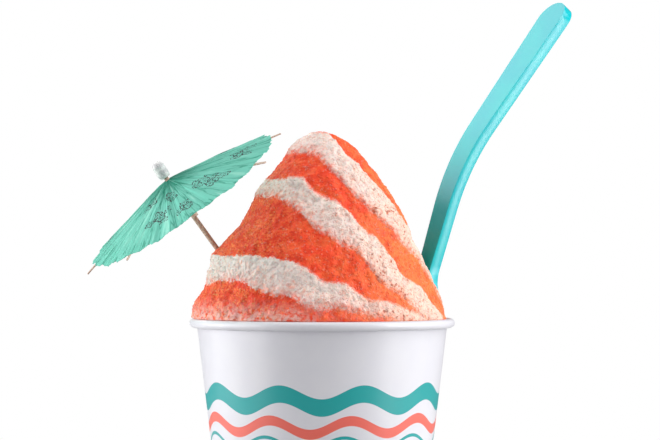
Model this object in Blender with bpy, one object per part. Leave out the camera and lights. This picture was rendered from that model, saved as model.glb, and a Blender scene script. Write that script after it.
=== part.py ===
# Shaved ice in a white paper cup, striped with orange syrup, with a paper
# parasol stuck in its left side and a plastic spoon in its right side.
# Metres, +Z up. The object stands on z = 0, and the origin is the middle of
# its box there, so the cup's axis stands at x = CUP_AXIS_X.
# A turn is an angle round the cup: 0 is its left side (-X), 90 degrees its
# front (-Y), 180 its right side and 270 its back.

import math

import bmesh
import bpy
from mathutils import Matrix, Vector, noise

MM = 0.001
GAP = 0.3 * MM
SMOOTH_ANGLE = math.radians(35)

# The cup: a tapered paper wall with a rolled rim, on a recessed base disc.
CUP_AXIS_X = -4.4 * MM
CUP_HEIGHT = 112 * MM
RIM_DIAMETER = 98 * MM
BEAD_DIAMETER = 3.3 * MM
WALL = 0.6 * MM
FOOT_DIAMETER = 66 * MM
FOLD_HEIGHT = 6.3 * MM
FOLD_WIDTH = 1.6 * MM
CUP_SIDES = 56
BEAD_STEPS = 7
BASE_THICKNESS = 0.6 * MM

BEAD_RADIUS = BEAD_DIAMETER / 2
UNDER_BEAD = 1.1 * BEAD_RADIUS
BEAD_CENTRE = Vector((RIM_DIAMETER / 2 - BEAD_RADIUS, CUP_HEIGHT - BEAD_RADIUS))
MOUTH_RADIUS = BEAD_CENTRE[0] - BEAD_RADIUS
FOOT_RADIUS = FOOT_DIAMETER / 2
TAPER = (MOUTH_RADIUS + WALL - FOOT_RADIUS) / BEAD_CENTRE[1]

# The ice: a frustum in the cup and a heaped cone over its rim.
HEAP_HEIGHT = 69.4 * MM
HEAP_RADIUS = 47.5 * MM
HEAP_POWER = 0.6
HEAP_SLOPE = 0.65
SHOULDER = 1.2 * MM
SHOULDER_HEIGHT = 25 * MM
SHOULDER_SPREAD = 6 * MM
TOP_LEAN = 0.6 * MM
BOTTOM_LEAN = -1.3 * MM
LEAN_HEIGHT = 31 * MM
LEAN_SPREAD = 4 * MM
LEAN_FADE_RADIUS = 14 * MM
LEDGE = 0.9 * MM
LEDGE_HEIGHTS = (24 * MM, 6 * MM)
LEDGE_SPREAD = 2.4 * MM
LUMP_SPACING = 2.0 * MM
TOP_RING_RADIUS = 1.6 * MM
SIDE_STEP = 0.02 * MM
COARSE_LUMPS = (1.0 * MM, 10 * MM)
FINE_LUMPS = (0.85 * MM, 3.1 * MM)
LUMP_PLACE = Vector((7.3, 0, 0))
FULL_RELIEF_HEIGHT = 4 * MM
FOOT_STEP = 0.4 * MM
SEAT_SHARES = (0, 0.35, 0.7, 1)
PACKED_SIDES = 48

# Syrup stripes: each edge is level round the high side, then falls to the rim.
# Rows: height on the high side, turn from there where it starts to fall, turn
# where it meets the rim, and how late it falls.
HIGH_SIDE = math.radians(15)
STRIPE_EDGES = (
    (69.6 * MM, 115, 190, 1.0),
    (61.0 * MM, 63, 176, 1.3),
    (51.4 * MM, 50, 149, 1.6),
    (44.7 * MM, 32, 130, 1.6),
    (23.2 * MM, 48, 133, 1.0),
    (14.0 * MM, 28, 112, 0.8),
)
BACK_FALL = 1.08
SYRUP_SINK = 0.4 * MM
SYRUP_EDGE = 0.9 * MM

# The spoon: its handle runs up from the neck, arches back and ends in a round
# tip, with a groove along its rear. Its bowl is stuck down into the ice.
SPOON_NECK = Vector((38.2 * MM, 7.6 * MM, CUP_HEIGHT + 19.5 * MM))
SPOON_FACE_TURN = math.radians(60)
SPOON_LEAN = math.radians(10)
HANDLE_ANGLES = (math.radians(6.6), math.radians(27.3))
HANDLE_STRAIGHTS = (23 * MM, 58 * MM)
HANDLE_ARC = 35 * MM
HANDLE_WIDTHS = (8.6 * MM, 15.4 * MM)
HANDLE_THICKNESS = 4.2 * MM
HANDLE_SKIN = 1.3 * MM
GROOVE_START = 7 * MM
GROOVE_END = 2.2 * MM
GROOVE_RAMP = 3 * MM
GROOVE_SHARE = 0.7
BOWL_ANGLE = math.radians(-7)
BOWL_LENGTH = 46 * MM
BOWL_WIDTH = 26 * MM
BOWL_DEPTH = 5.5 * MM
BOWL_SKIN = 1.3 * MM
BOWL_RAMP = 0.35
WIDEST = 0.52
NECK_LENGTH = 7 * MM
KEEL_LENGTH = 19 * MM
END_HALF_WIDTH = 0.6 * MM
SECTION_SHARES = (-1, -0.78, -0.66, -0.33, 0, 0.33, 0.66, 0.78, 1)
BOWL_STEPS = 12
LOW_STEPS = 5
ARC_STEPS = 6
TIP_STEPS = 5
LINE_STEPS = 60

# The parasol, on its own axis: z = 0 where the paper meets the stick.
PARASOL_TOP = Vector((-56.8 * MM, -8.5 * MM, CUP_HEIGHT + 51.1 * MM))
PARASOL_SIDE_TILT = math.radians(-35.4)
PARASOL_FRONT_TILT = math.radians(12.3)
RIBS = 8
RIB_TURN = math.radians(4)
RIB_REACH = 43.9 * MM
SHORT_RIBS = {6: 41.3 * MM, 7: 40.3 * MM}
RIB_START = 2.8 * MM
RIB_WIDTH = 1.3 * MM
RIB_THICKNESS = 0.55 * MM
PAPER_REACH = 39.6 * MM
PAPER_THICKNESS = 0.35 * MM
PAPER_HOLE = 1.5 * MM
PAPER_SHARES = (0.16, 0.42, 0.72, 1)
PARASOL_DROP = 10.5 * MM
PLEATS_PER_RIB = 3
PLEAT_DEPTH = 0.45 * MM
PAPER_SAG = 0.6 * MM
RAGGED = 0.012
RAGGED_WAVES = 5
STICK_RADIUS = 0.9 * MM
STICK_LENGTH = 88 * MM
STICK_TOP = 0.7 * MM
STICK_POINT = 4 * MM
POINT_RADIUS = 0.15 * MM
STICK_SIDES = 12
CAP_RADIUS = 2.25 * MM
CAP_LENGTH = 6.7 * MM
CAP_FOOT_RADIUS = 2.0 * MM
CAP_FLARE = 1.2 * MM
CAP_STEPS = 4
CAP_SIDES = 16
RUNNER_RADIUS = 2.3 * MM
RUNNER_SPAN = (-12.9 * MM, -6.7 * MM)
STRETCHER_REACH = 20 * MM
STRETCHER_WIDTH = 1.2 * MM
STRETCHER_THICKNESS = 0.45 * MM
STRETCHER_DIP = 1.2 * MM


def material(name, colour, roughness):
    made = bpy.data.materials.new(name)
    made.use_nodes = True
    surface = made.node_tree.nodes["Principled BSDF"]
    surface.inputs["Base Color"].default_value = (*colour, 1)
    surface.inputs["Roughness"].default_value = roughness
    surface.inputs["Metallic"].default_value = 0
    return made


def piece(name, bm, finish, parent, smooth=True):
    """One named object from a bmesh, with its faces pointing out."""
    bmesh.ops.recalc_face_normals(bm, faces=bm.faces[:])
    if bm.calc_volume(signed=True) < 0:
        bmesh.ops.reverse_faces(bm, faces=bm.faces[:])
    mesh = bpy.data.meshes.new(name)
    bm.to_mesh(mesh)
    bm.free()
    if smooth:
        mesh.shade_smooth()
        mesh.set_sharp_from_angle(angle=SMOOTH_ANGLE)
    mesh.materials.append(finish)
    made = bpy.data.objects.new(name, mesh)
    bpy.context.scene.collection.objects.link(made)
    made.parent = parent
    return made


def cut_out(target, tool):
    """Cuts the tool out of the target, and keeps the tool as a hidden helper."""
    tool.hide_render = True
    tool.display_type = "WIRE"
    cut = target.modifiers.new("Cut " + tool.name, "BOOLEAN")
    cut.operation = "DIFFERENCE"
    cut.object = tool


def smoothstep(low, high, value):
    share = min(1, max(0, (value - low) / (high - low)))
    return share * share * (3 - 2 * share)


def turned(outline, sides):
    """A ring with this closed outline of (radius, height) points, spun about Z."""
    bm = bmesh.new()
    corners = [bm.verts.new((radius, 0, height)) for radius, height in outline]
    for first, second in zip(corners, corners[1:] + corners[:1]):
        bm.edges.new((first, second))
    bmesh.ops.spin(
        bm,
        geom=bm.verts[:] + bm.edges[:],
        cent=(0, 0, 0),
        axis=(0, 0, 1),
        angle=math.tau,
        steps=sides,
        use_merge=True,
    )
    bmesh.ops.remove_doubles(bm, verts=bm.verts[:], dist=1e-6)
    return bm


def loft(sections):
    """A solid through closed sections with equal numbers of points, with fan ends."""
    bm = bmesh.new()
    loops = [[bm.verts.new(point) for point in section] for section in sections]
    for lower, upper in zip(loops, loops[1:]):
        for i in range(len(lower)):
            j = (i + 1) % len(lower)
            bm.faces.new((lower[i], lower[j], upper[j]))
            bm.faces.new((lower[i], upper[j], upper[i]))
    bm.faces.new(loops[0][::-1])
    bm.faces.new(loops[-1])
    bmesh.ops.triangulate(bm, faces=bm.faces[:])
    return bm


# The cup


def outer_radius(height):
    """Radius of the wall's outer face."""
    return FOOT_RADIUS + TAPER * height


def cup_wall(finish, parent):
    """The wall with its rolled rim, and the fold at the foot that grips the base."""
    under_bead = BEAD_CENTRE[1] - UNDER_BEAD
    fold_inner = FOOT_RADIUS - FOLD_WIDTH
    outline = [
        (FOOT_RADIUS, 0),
        (outer_radius(FOLD_HEIGHT), FOLD_HEIGHT),
        (outer_radius(under_bead), under_bead),
    ]
    for step in range(BEAD_STEPS + 1):
        angle = math.pi - (BEAD_STEPS - step) * math.pi / 4
        outline.append(
            (
                BEAD_CENTRE[0] + BEAD_RADIUS * math.cos(angle),
                BEAD_CENTRE[1] + BEAD_RADIUS * math.sin(angle),
            )
        )
    outline += [
        (outer_radius(FOLD_HEIGHT) - WALL, FOLD_HEIGHT),
        (fold_inner, FOLD_HEIGHT - WALL / 2),
        (fold_inner, 0),
    ]
    return piece("cup_wall", turned(outline, CUP_SIDES), finish, parent)


def cup_base(finish, parent):
    """The disc that lies on the fold inside the foot."""
    low = FOLD_HEIGHT + GAP
    bm = bmesh.new()
    radius = outer_radius(low) - WALL - GAP
    bmesh.ops.create_cone(
        bm,
        cap_ends=True,
        cap_tris=True,
        segments=CUP_SIDES,
        radius1=radius,
        radius2=radius,
        depth=BASE_THICKNESS,
        matrix=Matrix.Translation((0, 0, low + BASE_THICKNESS / 2)),
    )
    return piece("cup_base", bm, finish, parent)


# The ice


def stripe_edge(row, turn):
    """Height of one stripe edge over the rim at this turn."""
    top, start, end, power = row
    away = (turn - HIGH_SIDE + math.pi) % math.tau - math.pi
    fall = BACK_FALL if away < 0 else 1
    share = (math.degrees(abs(away)) * fall - start) / (end - start)
    return top * (1 - max(0, share) ** power)


def syrup_depth(height, turn):
    """How far a point on the heap is inside the syrup, up or down the side."""
    edges = [stripe_edge(row, turn) for row in STRIPE_EDGES]
    return max(
        height - edges[0],
        min(height - edges[2], edges[1] - height),
        min(height - edges[4], edges[3] - height),
        edges[5] - height,
    )


def hump(height, middle, spread):
    return math.exp(-(((height - middle) / spread) ** 2))


def heap_reach(height, turn):
    """Distance of the heap's side from the cup's axis, without its lumps."""
    share = min(1, height / HEAP_HEIGHT)
    cone = HEAP_RADIUS * (1 - share) ** HEAP_POWER
    leftness = (1 + math.cos(turn)) / 2
    shoulder = SHOULDER * leftness * hump(height, SHOULDER_HEIGHT, SHOULDER_SPREAD)
    ledges = sum(hump(height, middle, LEDGE_SPREAD) for middle in LEDGE_HEIGHTS)
    ledge = LEDGE * leftness**2 * ledges
    upper = smoothstep(LEAN_HEIGHT - LEAN_SPREAD, LEAN_HEIGHT + LEAN_SPREAD, height)
    lean = BOTTOM_LEAN + (TOP_LEAN - BOTTOM_LEAN) * upper
    lean *= min(1, cone / LEAN_FADE_RADIUS)
    return cone + shoulder + ledge - lean * math.cos(turn)


def round_the_cup(radius, turn, height):
    return Vector(
        (-radius * math.cos(turn), -radius * math.sin(turn), CUP_HEIGHT + height)
    )


def lumps(point):
    """Unevenness of packed ice at this point, outwards."""
    total = 0
    for size, spacing in (COARSE_LUMPS, FINE_LUMPS):
        total += size * noise.noise(point / spacing + LUMP_PLACE)
    return total


def heap_point(height, turn):
    """A point on the lumpy side of the heap."""
    plain = round_the_cup(heap_reach(height, turn), turn, height)
    grown = smoothstep(0, FULL_RELIEF_HEIGHT, height)
    sink = SYRUP_SINK * math.tanh(syrup_depth(height, turn) / SYRUP_EDGE)
    relief = grown * (lumps(plain) - sink)
    outwards = Vector((-math.cos(turn), -math.sin(turn), HEAP_SLOPE)).normalized()
    return plain + outwards * relief


def heap_heights():
    """Ring heights that keep the lumps evenly spaced along the side."""
    heights = []
    height = 0
    here = heap_reach(0, math.pi / 2)
    run = LUMP_SPACING / 2
    while here > TOP_RING_RADIUS:
        height += SIDE_STEP
        there = heap_reach(height, math.pi / 2)
        run += math.hypot(SIDE_STEP, there - here)
        here = there
        if run >= LUMP_SPACING:
            heights.append(height)
            run -= LUMP_SPACING
    return heights


def seat_rings(count):
    """Rings that carry the ice from inside the mouth out over the rolled rim."""
    clear = BEAD_RADIUS + GAP
    rings = []
    for share in SEAT_SHARES:
        ring = []
        for i in range(count):
            turn = math.tau * i / count
            out = heap_reach(0, turn) - FOOT_STEP - BEAD_CENTRE[0]
            last = math.acos(min(0, out / clear))
            angle = math.pi + (last - math.pi) * share
            radius = BEAD_CENTRE[0] + clear * math.cos(angle)
            if share == 1:
                radius = BEAD_CENTRE[0] + out
            height = BEAD_CENTRE[1] + clear * math.sin(angle) - CUP_HEIGHT
            ring.append(round_the_cup(radius, turn, height))
        rings.append(ring)
    return rings


def ice_rings():
    """Rings of points from the bottom of the packed ice to the top of the heap."""
    floor = FOLD_HEIGHT + 2 * GAP + BASE_THICKNESS
    packed_radius = outer_radius(floor) - WALL - GAP
    rings = [
        [
            round_the_cup(packed_radius, math.tau * i / PACKED_SIDES, floor - CUP_HEIGHT)
            for i in range(PACKED_SIDES)
        ]
    ]
    count = round(math.tau * HEAP_RADIUS / LUMP_SPACING)
    rings += seat_rings(count)
    for row, height in enumerate(heap_heights()):
        reach = heap_reach(height, math.pi / 2)
        count = round(math.tau * reach / LUMP_SPACING)
        half = 0.5 * (row % 2)
        rings.append(
            [heap_point(height, math.tau * (i + half) / count) for i in range(count)]
        )
    return rings


def zip_rings(bm, lower, upper):
    """Triangles between two rings of any counts, each walked by its own turn."""
    i = j = 0
    while i < len(lower) or j < len(upper):
        low, high = lower[i % len(lower)], upper[j % len(upper)]
        if j >= len(upper) or (
            i < len(lower) and (i + 1) / len(lower) <= (j + 1) / len(upper)
        ):
            i += 1
            bm.faces.new((low, lower[i % len(lower)], high))
        else:
            j += 1
            bm.faces.new((low, upper[j % len(upper)], high))


def ice(finish, parent):
    """The packed ice and the heap, as one closed solid."""
    bm = bmesh.new()
    rings = [[bm.verts.new(point) for point in ring] for ring in ice_rings()]
    for lower, upper in zip(rings, rings[1:]):
        zip_rings(bm, lower, upper)
    top = bm.verts.new(round_the_cup(0, 0, HEAP_HEIGHT))
    bottom_centre = sum((vert.co for vert in rings[0]), Vector()) / len(rings[0])
    bottom = bm.verts.new(bottom_centre)
    for ring, pole in ((rings[-1], top), (rings[0], bottom)):
        for first, second in zip(ring, ring[1:] + ring[:1]):
            bm.faces.new((first, second, pole))
    return piece("shaved_ice", bm, finish, parent, smooth=False)


# The spoon


def spoon_stations():
    """Distances from the neck, closest where the outline turns most."""
    low_run, high_run = HANDLE_STRAIGHTS
    length = low_run + HANDLE_ARC + high_run
    tip = HANDLE_WIDTHS[1] / 2
    bowl = [
        -BOWL_LENGTH * (1 + math.cos(math.pi * step / BOWL_STEPS)) / 2
        for step in range(BOWL_STEPS)
    ]
    low = [low_run * (step / LOW_STEPS) ** 1.5 for step in range(LOW_STEPS)]
    arc = [low_run + HANDLE_ARC * step / ARC_STEPS for step in range(ARC_STEPS + 1)]
    groove_end = [length - GROOVE_END - GROOVE_RAMP, length - GROOVE_END]
    end = [
        length - tip * (1 - math.sin(math.pi / 2 * step / TIP_STEPS))
        for step in range(TIP_STEPS + 1)
    ]
    return sorted(bowl + low + arc + groove_end + end), length


def spoon_slope(at):
    """Lean of the spoon from its neck's line, at this distance from the neck."""
    low_angle, high_angle = HANDLE_ANGLES
    if at < 0:
        turned_down = smoothstep(0, -NECK_LENGTH, at)
        return low_angle + (BOWL_ANGLE - low_angle) * turned_down
    share = min(1, max(0, (at - HANDLE_STRAIGHTS[0]) / HANDLE_ARC))
    return low_angle + (high_angle - low_angle) * share


def spoon_place(at):
    """Place of the face's centre line, as (back, along), from the neck."""
    place = Vector((0, 0))
    step = at / LINE_STEPS
    for number in range(LINE_STEPS):
        angle = spoon_slope(step * (number + 0.5))
        place += step * Vector((math.sin(angle), math.cos(angle)))
    return place


def spoon_half_width(at, length):
    """Half the width of the handle or the bowl at this distance from the neck."""
    narrow, wide = (width / 2 for width in HANDLE_WIDTHS)
    if at < -BOWL_LENGTH * WIDEST:
        run = (-at / BOWL_LENGTH - WIDEST) / (1 - WIDEST)
        return max(END_HALF_WIDTH, BOWL_WIDTH / 2 * math.sqrt(max(0, 1 - run**2)))
    if at < 0:
        flare = smoothstep(0, WIDEST, -at / BOWL_LENGTH)
        return narrow + (BOWL_WIDTH / 2 - narrow) * flare
    plain = narrow + (wide - narrow) * at / length
    rounding = 1 - min(1, (length - at) / wide)
    return max(END_HALF_WIDTH, plain * math.sqrt(1 - rounding**2))


def spoon_section(at, length, grown):
    """The closed section across the spoon, as (width, back, along) points."""
    half = spoon_half_width(at, length) + grown
    filled = smoothstep(0, -BOWL_LENGTH * BOWL_RAMP, at)
    rounded = math.sqrt(smoothstep(-BOWL_LENGTH, -BOWL_LENGTH * (1 - BOWL_RAMP), at))
    depth = BOWL_DEPTH * filled * rounded
    keel = smoothstep(0, -KEEL_LENGTH, at)
    thickness = HANDLE_THICKNESS + (BOWL_SKIN - HANDLE_THICKNESS) * keel
    in_groove = smoothstep(GROOVE_START, GROOVE_START + GROOVE_RAMP, at)
    in_groove *= smoothstep(GROOVE_END, GROOVE_END + GROOVE_RAMP, length - at)
    groove = 0 if grown else (HANDLE_THICKNESS - HANDLE_SKIN) * in_groove
    # where the face is hollow, growing it sideways would bring it back into the spoon
    face_gap = grown * (1 + 2 * depth / half)
    angle = spoon_slope(at)
    centre = spoon_place(at)
    back_axis = Vector((math.cos(angle), -math.sin(angle)))
    face, rear = [], []
    for share in SECTION_SHARES:
        sag = depth * (1 - share**2)
        hollow = groove if abs(share) < GROOVE_SHARE else 0
        near = centre + back_axis * (sag - face_gap)
        far = centre + back_axis * (sag + thickness - hollow + grown)
        face.append(Vector((half * share, *near)))
        rear.append(Vector((half * share, *far)))
    return face + rear[::-1]


def spoon_mesh(grown=0):
    """The whole spoon about its neck: X across, Y to its back, Z up the handle.
    When grown, its lower end also goes down, so that it clears the bowl's tip."""
    stations, length = spoon_stations()
    sections = [spoon_section(at, length, grown) for at in stations]
    for corner in sections[0]:
        corner.z -= 2 * grown
    return loft(sections)


def spoon_frame():
    """Places the spoon: its width points to the viewer, its face to the heap."""
    face = SPOON_FACE_TURN
    width = Vector(
        (
            math.cos(face) * math.cos(SPOON_LEAN),
            -math.sin(face),
            -math.cos(face) * math.sin(SPOON_LEAN),
        )
    )
    along = Vector((math.sin(SPOON_LEAN), 0, math.cos(SPOON_LEAN)))
    back = along.cross(width)
    turn = Matrix((width, back, along)).transposed().to_4x4()
    return Matrix.Translation(SPOON_NECK) @ turn


def spoon(finish, parent):
    made = piece("spoon", spoon_mesh(), finish, parent)
    made.matrix_local = spoon_frame()
    return made


# The parasol


def drop_at(reach):
    """How far the paper and ribs have dropped below the top at this reach."""
    return PARASOL_DROP * reach / RIB_REACH


def paper_point(reach, angle, side):
    """A point on the upper (side 1) or lower (side 0) face of the paper."""
    between = math.cos(RIBS * (angle - RIB_TURN)) * 0.5 + 0.5
    pleat = math.cos(RIBS * PLEATS_PER_RIB * (angle - RIB_TURN))
    share = reach / PAPER_REACH
    sag = PAPER_SAG * (1 - between) * share**2 - PLEAT_DEPTH * (pleat - 1) / 2 * share
    ragged = 1 + RAGGED * math.sin(RAGGED_WAVES * angle) * share
    height = -drop_at(reach) - sag + PAPER_THICKNESS * side
    return Vector(
        (reach * ragged * math.cos(angle), reach * ragged * math.sin(angle), height)
    )


def canopy(finish, parent):
    """Thin pleated paper, its two faces split into triangles alike."""
    count = RIBS * PLEATS_PER_RIB * 2
    reaches = [PAPER_HOLE] + [PAPER_REACH * share for share in PAPER_SHARES]
    bm = bmesh.new()
    grid = [
        [
            [
                bm.verts.new(paper_point(reach, RIB_TURN + math.tau * i / count, side))
                for i in range(count)
            ]
            for reach in reaches
        ]
        for side in (0, 1)
    ]
    for side, faces in enumerate(grid):
        for inner, outer in zip(faces, faces[1:]):
            for i in range(count):
                j = (i + 1) % count
                bm.faces.new((inner[i], outer[i], outer[j]))
                bm.faces.new((inner[i], outer[j], inner[j]))
    for row in (0, -1):
        under, over = grid[0][row], grid[1][row]
        for i in range(count):
            j = (i + 1) % count
            bm.faces.new((under[i], under[j], over[j], over[i]))
    return piece("parasol_paper", bm, finish, parent, smooth=False)


def strip(inner, outer, height_at, width, thickness):
    """A flat strip from one reach to another, whose height a function gives."""
    sections = []
    for reach in (inner, outer):
        height = height_at(reach)
        sections.append(
            [
                Vector((reach, across * width / 2, height + up * thickness / 2))
                for across, up in ((-1, -1), (1, -1), (1, 1), (-1, 1))
            ]
        )
    return loft(sections)


def rib_height(reach):
    """Height of a rib's middle line, just under the paper."""
    return -drop_at(reach) - RIB_THICKNESS / 2 - GAP


def ribs(finish, parent):
    """The flat ribs under the paper, whose ends stand out past its edge, two of them less."""
    for number in range(RIBS):
        reach = SHORT_RIBS.get(number + 1, RIB_REACH)
        bm = strip(RIB_START, reach, rib_height, RIB_WIDTH, RIB_THICKNESS)
        made = piece(f"parasol_rib_{number + 1}", bm, finish, parent)
        made.rotation_euler.z = RIB_TURN + math.tau * number / RIBS


def stretchers(finish, parent):
    """The short strips that prop the ribs from the runner on the stick."""
    inner = RUNNER_RADIUS + GAP
    low = RUNNER_SPAN[1] - STRETCHER_DIP
    under = RIB_THICKNESS / 2 + STRETCHER_THICKNESS + GAP
    high = rib_height(STRETCHER_REACH) - under

    def height_at(reach):
        return low + (high - low) * (reach - inner) / (STRETCHER_REACH - inner)

    for number in range(RIBS):
        bm = strip(
            inner, STRETCHER_REACH, height_at, STRETCHER_WIDTH, STRETCHER_THICKNESS
        )
        made = piece(f"parasol_stretcher_{number + 1}", bm, finish, parent)
        made.rotation_euler.z = RIB_TURN + math.tau * number / RIBS


def stick_mesh(grown=0):
    """The pointed stick, down from its top end."""
    radius = STICK_RADIUS + grown
    levels = (
        (radius, STICK_TOP),
        (radius, STICK_POINT - STICK_LENGTH),
        (POINT_RADIUS + grown, -STICK_LENGTH - grown),
    )
    sections = []
    for reach, height in levels:
        turns = [math.tau * side / STICK_SIDES for side in range(STICK_SIDES)]
        sections.append(
            [
                Vector((reach * math.cos(turn), reach * math.sin(turn), height))
                for turn in turns
            ]
        )
    return loft(sections)


def cap(finish, parent):
    """The round-topped bead that closes the top of the stick."""
    low = STICK_TOP + GAP
    outline = [(0, low), (CAP_FOOT_RADIUS, low), (CAP_RADIUS, low + CAP_FLARE)]
    for step in range(CAP_STEPS + 1):
        angle = math.pi / 2 * step / CAP_STEPS
        outline.append(
            (
                CAP_RADIUS * math.cos(angle),
                low + CAP_LENGTH - CAP_RADIUS * (1 - math.sin(angle)),
            )
        )
    return piece("parasol_cap", turned(outline, CAP_SIDES), finish, parent)


def runner(finish, parent):
    """The paper tube that holds the stretchers, round the stick."""
    low, high = RUNNER_SPAN
    inner = STICK_RADIUS + GAP
    outline = [
        (inner, low),
        (RUNNER_RADIUS, low),
        (RUNNER_RADIUS, high),
        (inner, high),
    ]
    return piece("parasol_runner", turned(outline, CAP_SIDES), finish, parent)


def empty(name, parent=None):
    made = bpy.data.objects.new(name, None)
    bpy.context.scene.collection.objects.link(made)
    made.parent = parent
    return made


def main():
    for old in list(bpy.data.objects):
        bpy.data.objects.remove(old)
    paper = material("white paper board", (0.86, 0.86, 0.88), 0.45)
    snow = material("syrup ice", (0.8, 0.28, 0.14), 0.5)
    teal = material("teal plastic", (0.02, 0.42, 0.45), 0.3)
    mint = material("mint tissue paper", (0.2, 0.6, 0.47), 0.7)
    wood = material("pale wood", (0.6, 0.42, 0.28), 0.6)
    bead = material("white cap", (0.7, 0.7, 0.69), 0.4)
    card = material("white card", (0.75, 0.72, 0.66), 0.7)

    axis = empty("cup_axis")
    axis.location.x = CUP_AXIS_X
    cup_wall(paper, axis)
    cup_base(paper, axis)
    heap = ice(snow, axis)
    spoon(teal, axis)

    parasol = empty("parasol_axis", axis)
    tilt = Matrix.Rotation(PARASOL_SIDE_TILT, 4, "Y") @ Matrix.Rotation(
        PARASOL_FRONT_TILT, 4, "X"
    )
    parasol.matrix_local = Matrix.Translation(PARASOL_TOP) @ tilt
    piece("parasol_stick", stick_mesh(), wood, parasol)
    canopy(mint, parasol)
    ribs(wood, parasol)
    stretchers(wood, parasol)
    cap(bead, parasol)
    runner(card, parasol)

    stick_hole = piece("stick_hole", stick_mesh(grown=GAP), wood, parasol)
    cut_out(heap, stick_hole)
    spoon_hole = piece("spoon_hole", spoon_mesh(grown=GAP), teal, axis)
    spoon_hole.matrix_local = spoon_frame()
    cut_out(heap, spoon_hole)


main()
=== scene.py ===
# Shaved ice in a paper cup, with a paper parasol and a plastic spoon: the looks.
# Metres, +Z up. A turn is an angle round the cup: 0 left, 90 front, 180 right, 270 back.

import math

import bmesh
import bpy
from mathutils import Matrix, Vector, noise


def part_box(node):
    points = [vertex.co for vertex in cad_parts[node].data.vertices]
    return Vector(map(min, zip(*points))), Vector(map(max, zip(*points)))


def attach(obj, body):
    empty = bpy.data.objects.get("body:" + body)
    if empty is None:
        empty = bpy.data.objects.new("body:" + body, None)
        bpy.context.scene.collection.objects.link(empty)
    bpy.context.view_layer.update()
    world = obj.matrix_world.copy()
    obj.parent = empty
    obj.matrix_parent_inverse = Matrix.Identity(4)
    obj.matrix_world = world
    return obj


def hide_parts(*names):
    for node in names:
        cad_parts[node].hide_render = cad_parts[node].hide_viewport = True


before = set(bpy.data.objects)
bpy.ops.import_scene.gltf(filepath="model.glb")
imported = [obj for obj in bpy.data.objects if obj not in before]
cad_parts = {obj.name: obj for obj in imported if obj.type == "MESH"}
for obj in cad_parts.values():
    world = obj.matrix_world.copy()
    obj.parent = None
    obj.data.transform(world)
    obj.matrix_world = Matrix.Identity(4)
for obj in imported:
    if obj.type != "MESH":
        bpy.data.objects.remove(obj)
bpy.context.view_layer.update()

mm = 0.001
cupLow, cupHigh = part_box("cup_wall")
cupX = (cupLow[0] + cupHigh[0]) / 2
cupTop = cupHigh[2]
print("frame loaded, cup axis at x =", round(cupX / mm, 2), "mm")


# Small helpers for picking and shaping

def pickOnly(obj):
    if bpy.context.object and bpy.context.object.mode != "OBJECT":
        bpy.ops.object.mode_set(mode="OBJECT")
    bpy.ops.object.select_all(action="DESELECT")
    obj.select_set(True)
    bpy.context.view_layer.objects.active = obj


def smoothStep(low, high, value):
    share = min(1, max(0, (value - low) / (high - low)))
    return share * share * (3 - 2 * share)


def applyModifier(obj, kind, **settings):
    pickOnly(obj)
    bpy.ops.object.modifier_add(type=kind)
    modifier = obj.modifiers[-1]
    for key, value in settings.items():
        setattr(modifier, key, value)
    bpy.ops.object.modifier_apply(modifier=modifier.name)


def extrudeThrough(name, rings, capFirst=True, capLast=True):
    # a closed outline, extruded from each ring of points to the next
    bpy.ops.object.select_all(action="DESELECT")
    bpy.ops.mesh.primitive_circle_add(vertices=len(rings[0]), radius=0.01, fill_type="NOTHING")
    obj = bpy.context.object
    obj.name = name
    obj.data.name = name
    for corner, place in zip(obj.data.vertices, rings[0]):
        corner.co = place
    bpy.ops.object.mode_set(mode="EDIT")
    bpy.ops.mesh.select_all(action="SELECT")
    if capFirst:
        bpy.ops.mesh.edge_face_add()
        bpy.ops.mesh.duplicate()    # the face stays as the cap, and its copy's outline goes on
        bpy.ops.mesh.delete(type="ONLY_FACE")
    mesh = bmesh.from_edit_mesh(obj.data)
    mesh.verts.ensure_lookup_table()
    front = list(range(len(mesh.verts) - len(rings[0]), len(mesh.verts)))
    for corner in mesh.verts:
        corner.select = corner.index in front
    for edge in mesh.edges:
        edge.select = edge.verts[0].select and edge.verts[1].select
    bmesh.update_edit_mesh(obj.data)
    for ring in rings[1:]:
        bpy.ops.mesh.extrude_region_move()
        mesh = bmesh.from_edit_mesh(obj.data)
        mesh.verts.ensure_lookup_table()
        ahead = []
        for index, place in zip(front, ring):
            corner = mesh.verts[index]
            linked = [edge.other_vert(corner) for edge in corner.link_edges]
            new = next(vert for vert in linked if vert.select)
            new.co = place
            ahead.append(new.index)
        front = ahead
        bmesh.update_edit_mesh(obj.data)
    if capLast:
        bpy.ops.mesh.edge_face_add()
    bpy.ops.mesh.select_all(action="SELECT")
    bpy.ops.mesh.remove_doubles(threshold=1e-6)
    bpy.ops.mesh.normals_make_consistent(inside=False)
    bpy.ops.object.mode_set(mode="OBJECT")
    return obj


def finishPiece(obj, material, slot, *nodes):
    obj.data.materials.clear()
    obj.data.materials.append(material)
    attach(obj, "root")
    if nodes:
        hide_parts(*nodes)


# Small helpers for shader nodes

def tone(red, green, blue):
    # a colour picked as 0 to 255 on screen, in the linear values that sockets take
    def linear(value):
        share = value / 255
        return share / 12.92 if share <= 0.04045 else ((share + 0.055) / 1.055) ** 2.4
    return (linear(red), linear(green), linear(blue), 1)


def feed(tree, socket, value):
    # value is another socket or a plain value
    if isinstance(value, bpy.types.NodeSocket):
        tree.links.new(value, socket)
    else:
        socket.default_value = value


def node(tree, kind, inputs=None, **settings):
    made = tree.nodes.new(kind)
    for key, value in settings.items():
        setattr(made, key, value)
    for key, value in (inputs or {}).items():
        feed(tree, made.inputs[key], value)
    return made


def calc(tree, operation, *values):
    made = node(tree, "ShaderNodeMath", operation=operation)
    for number, value in enumerate(values):
        feed(tree, made.inputs[number], value)
    return made.outputs[0]


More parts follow.
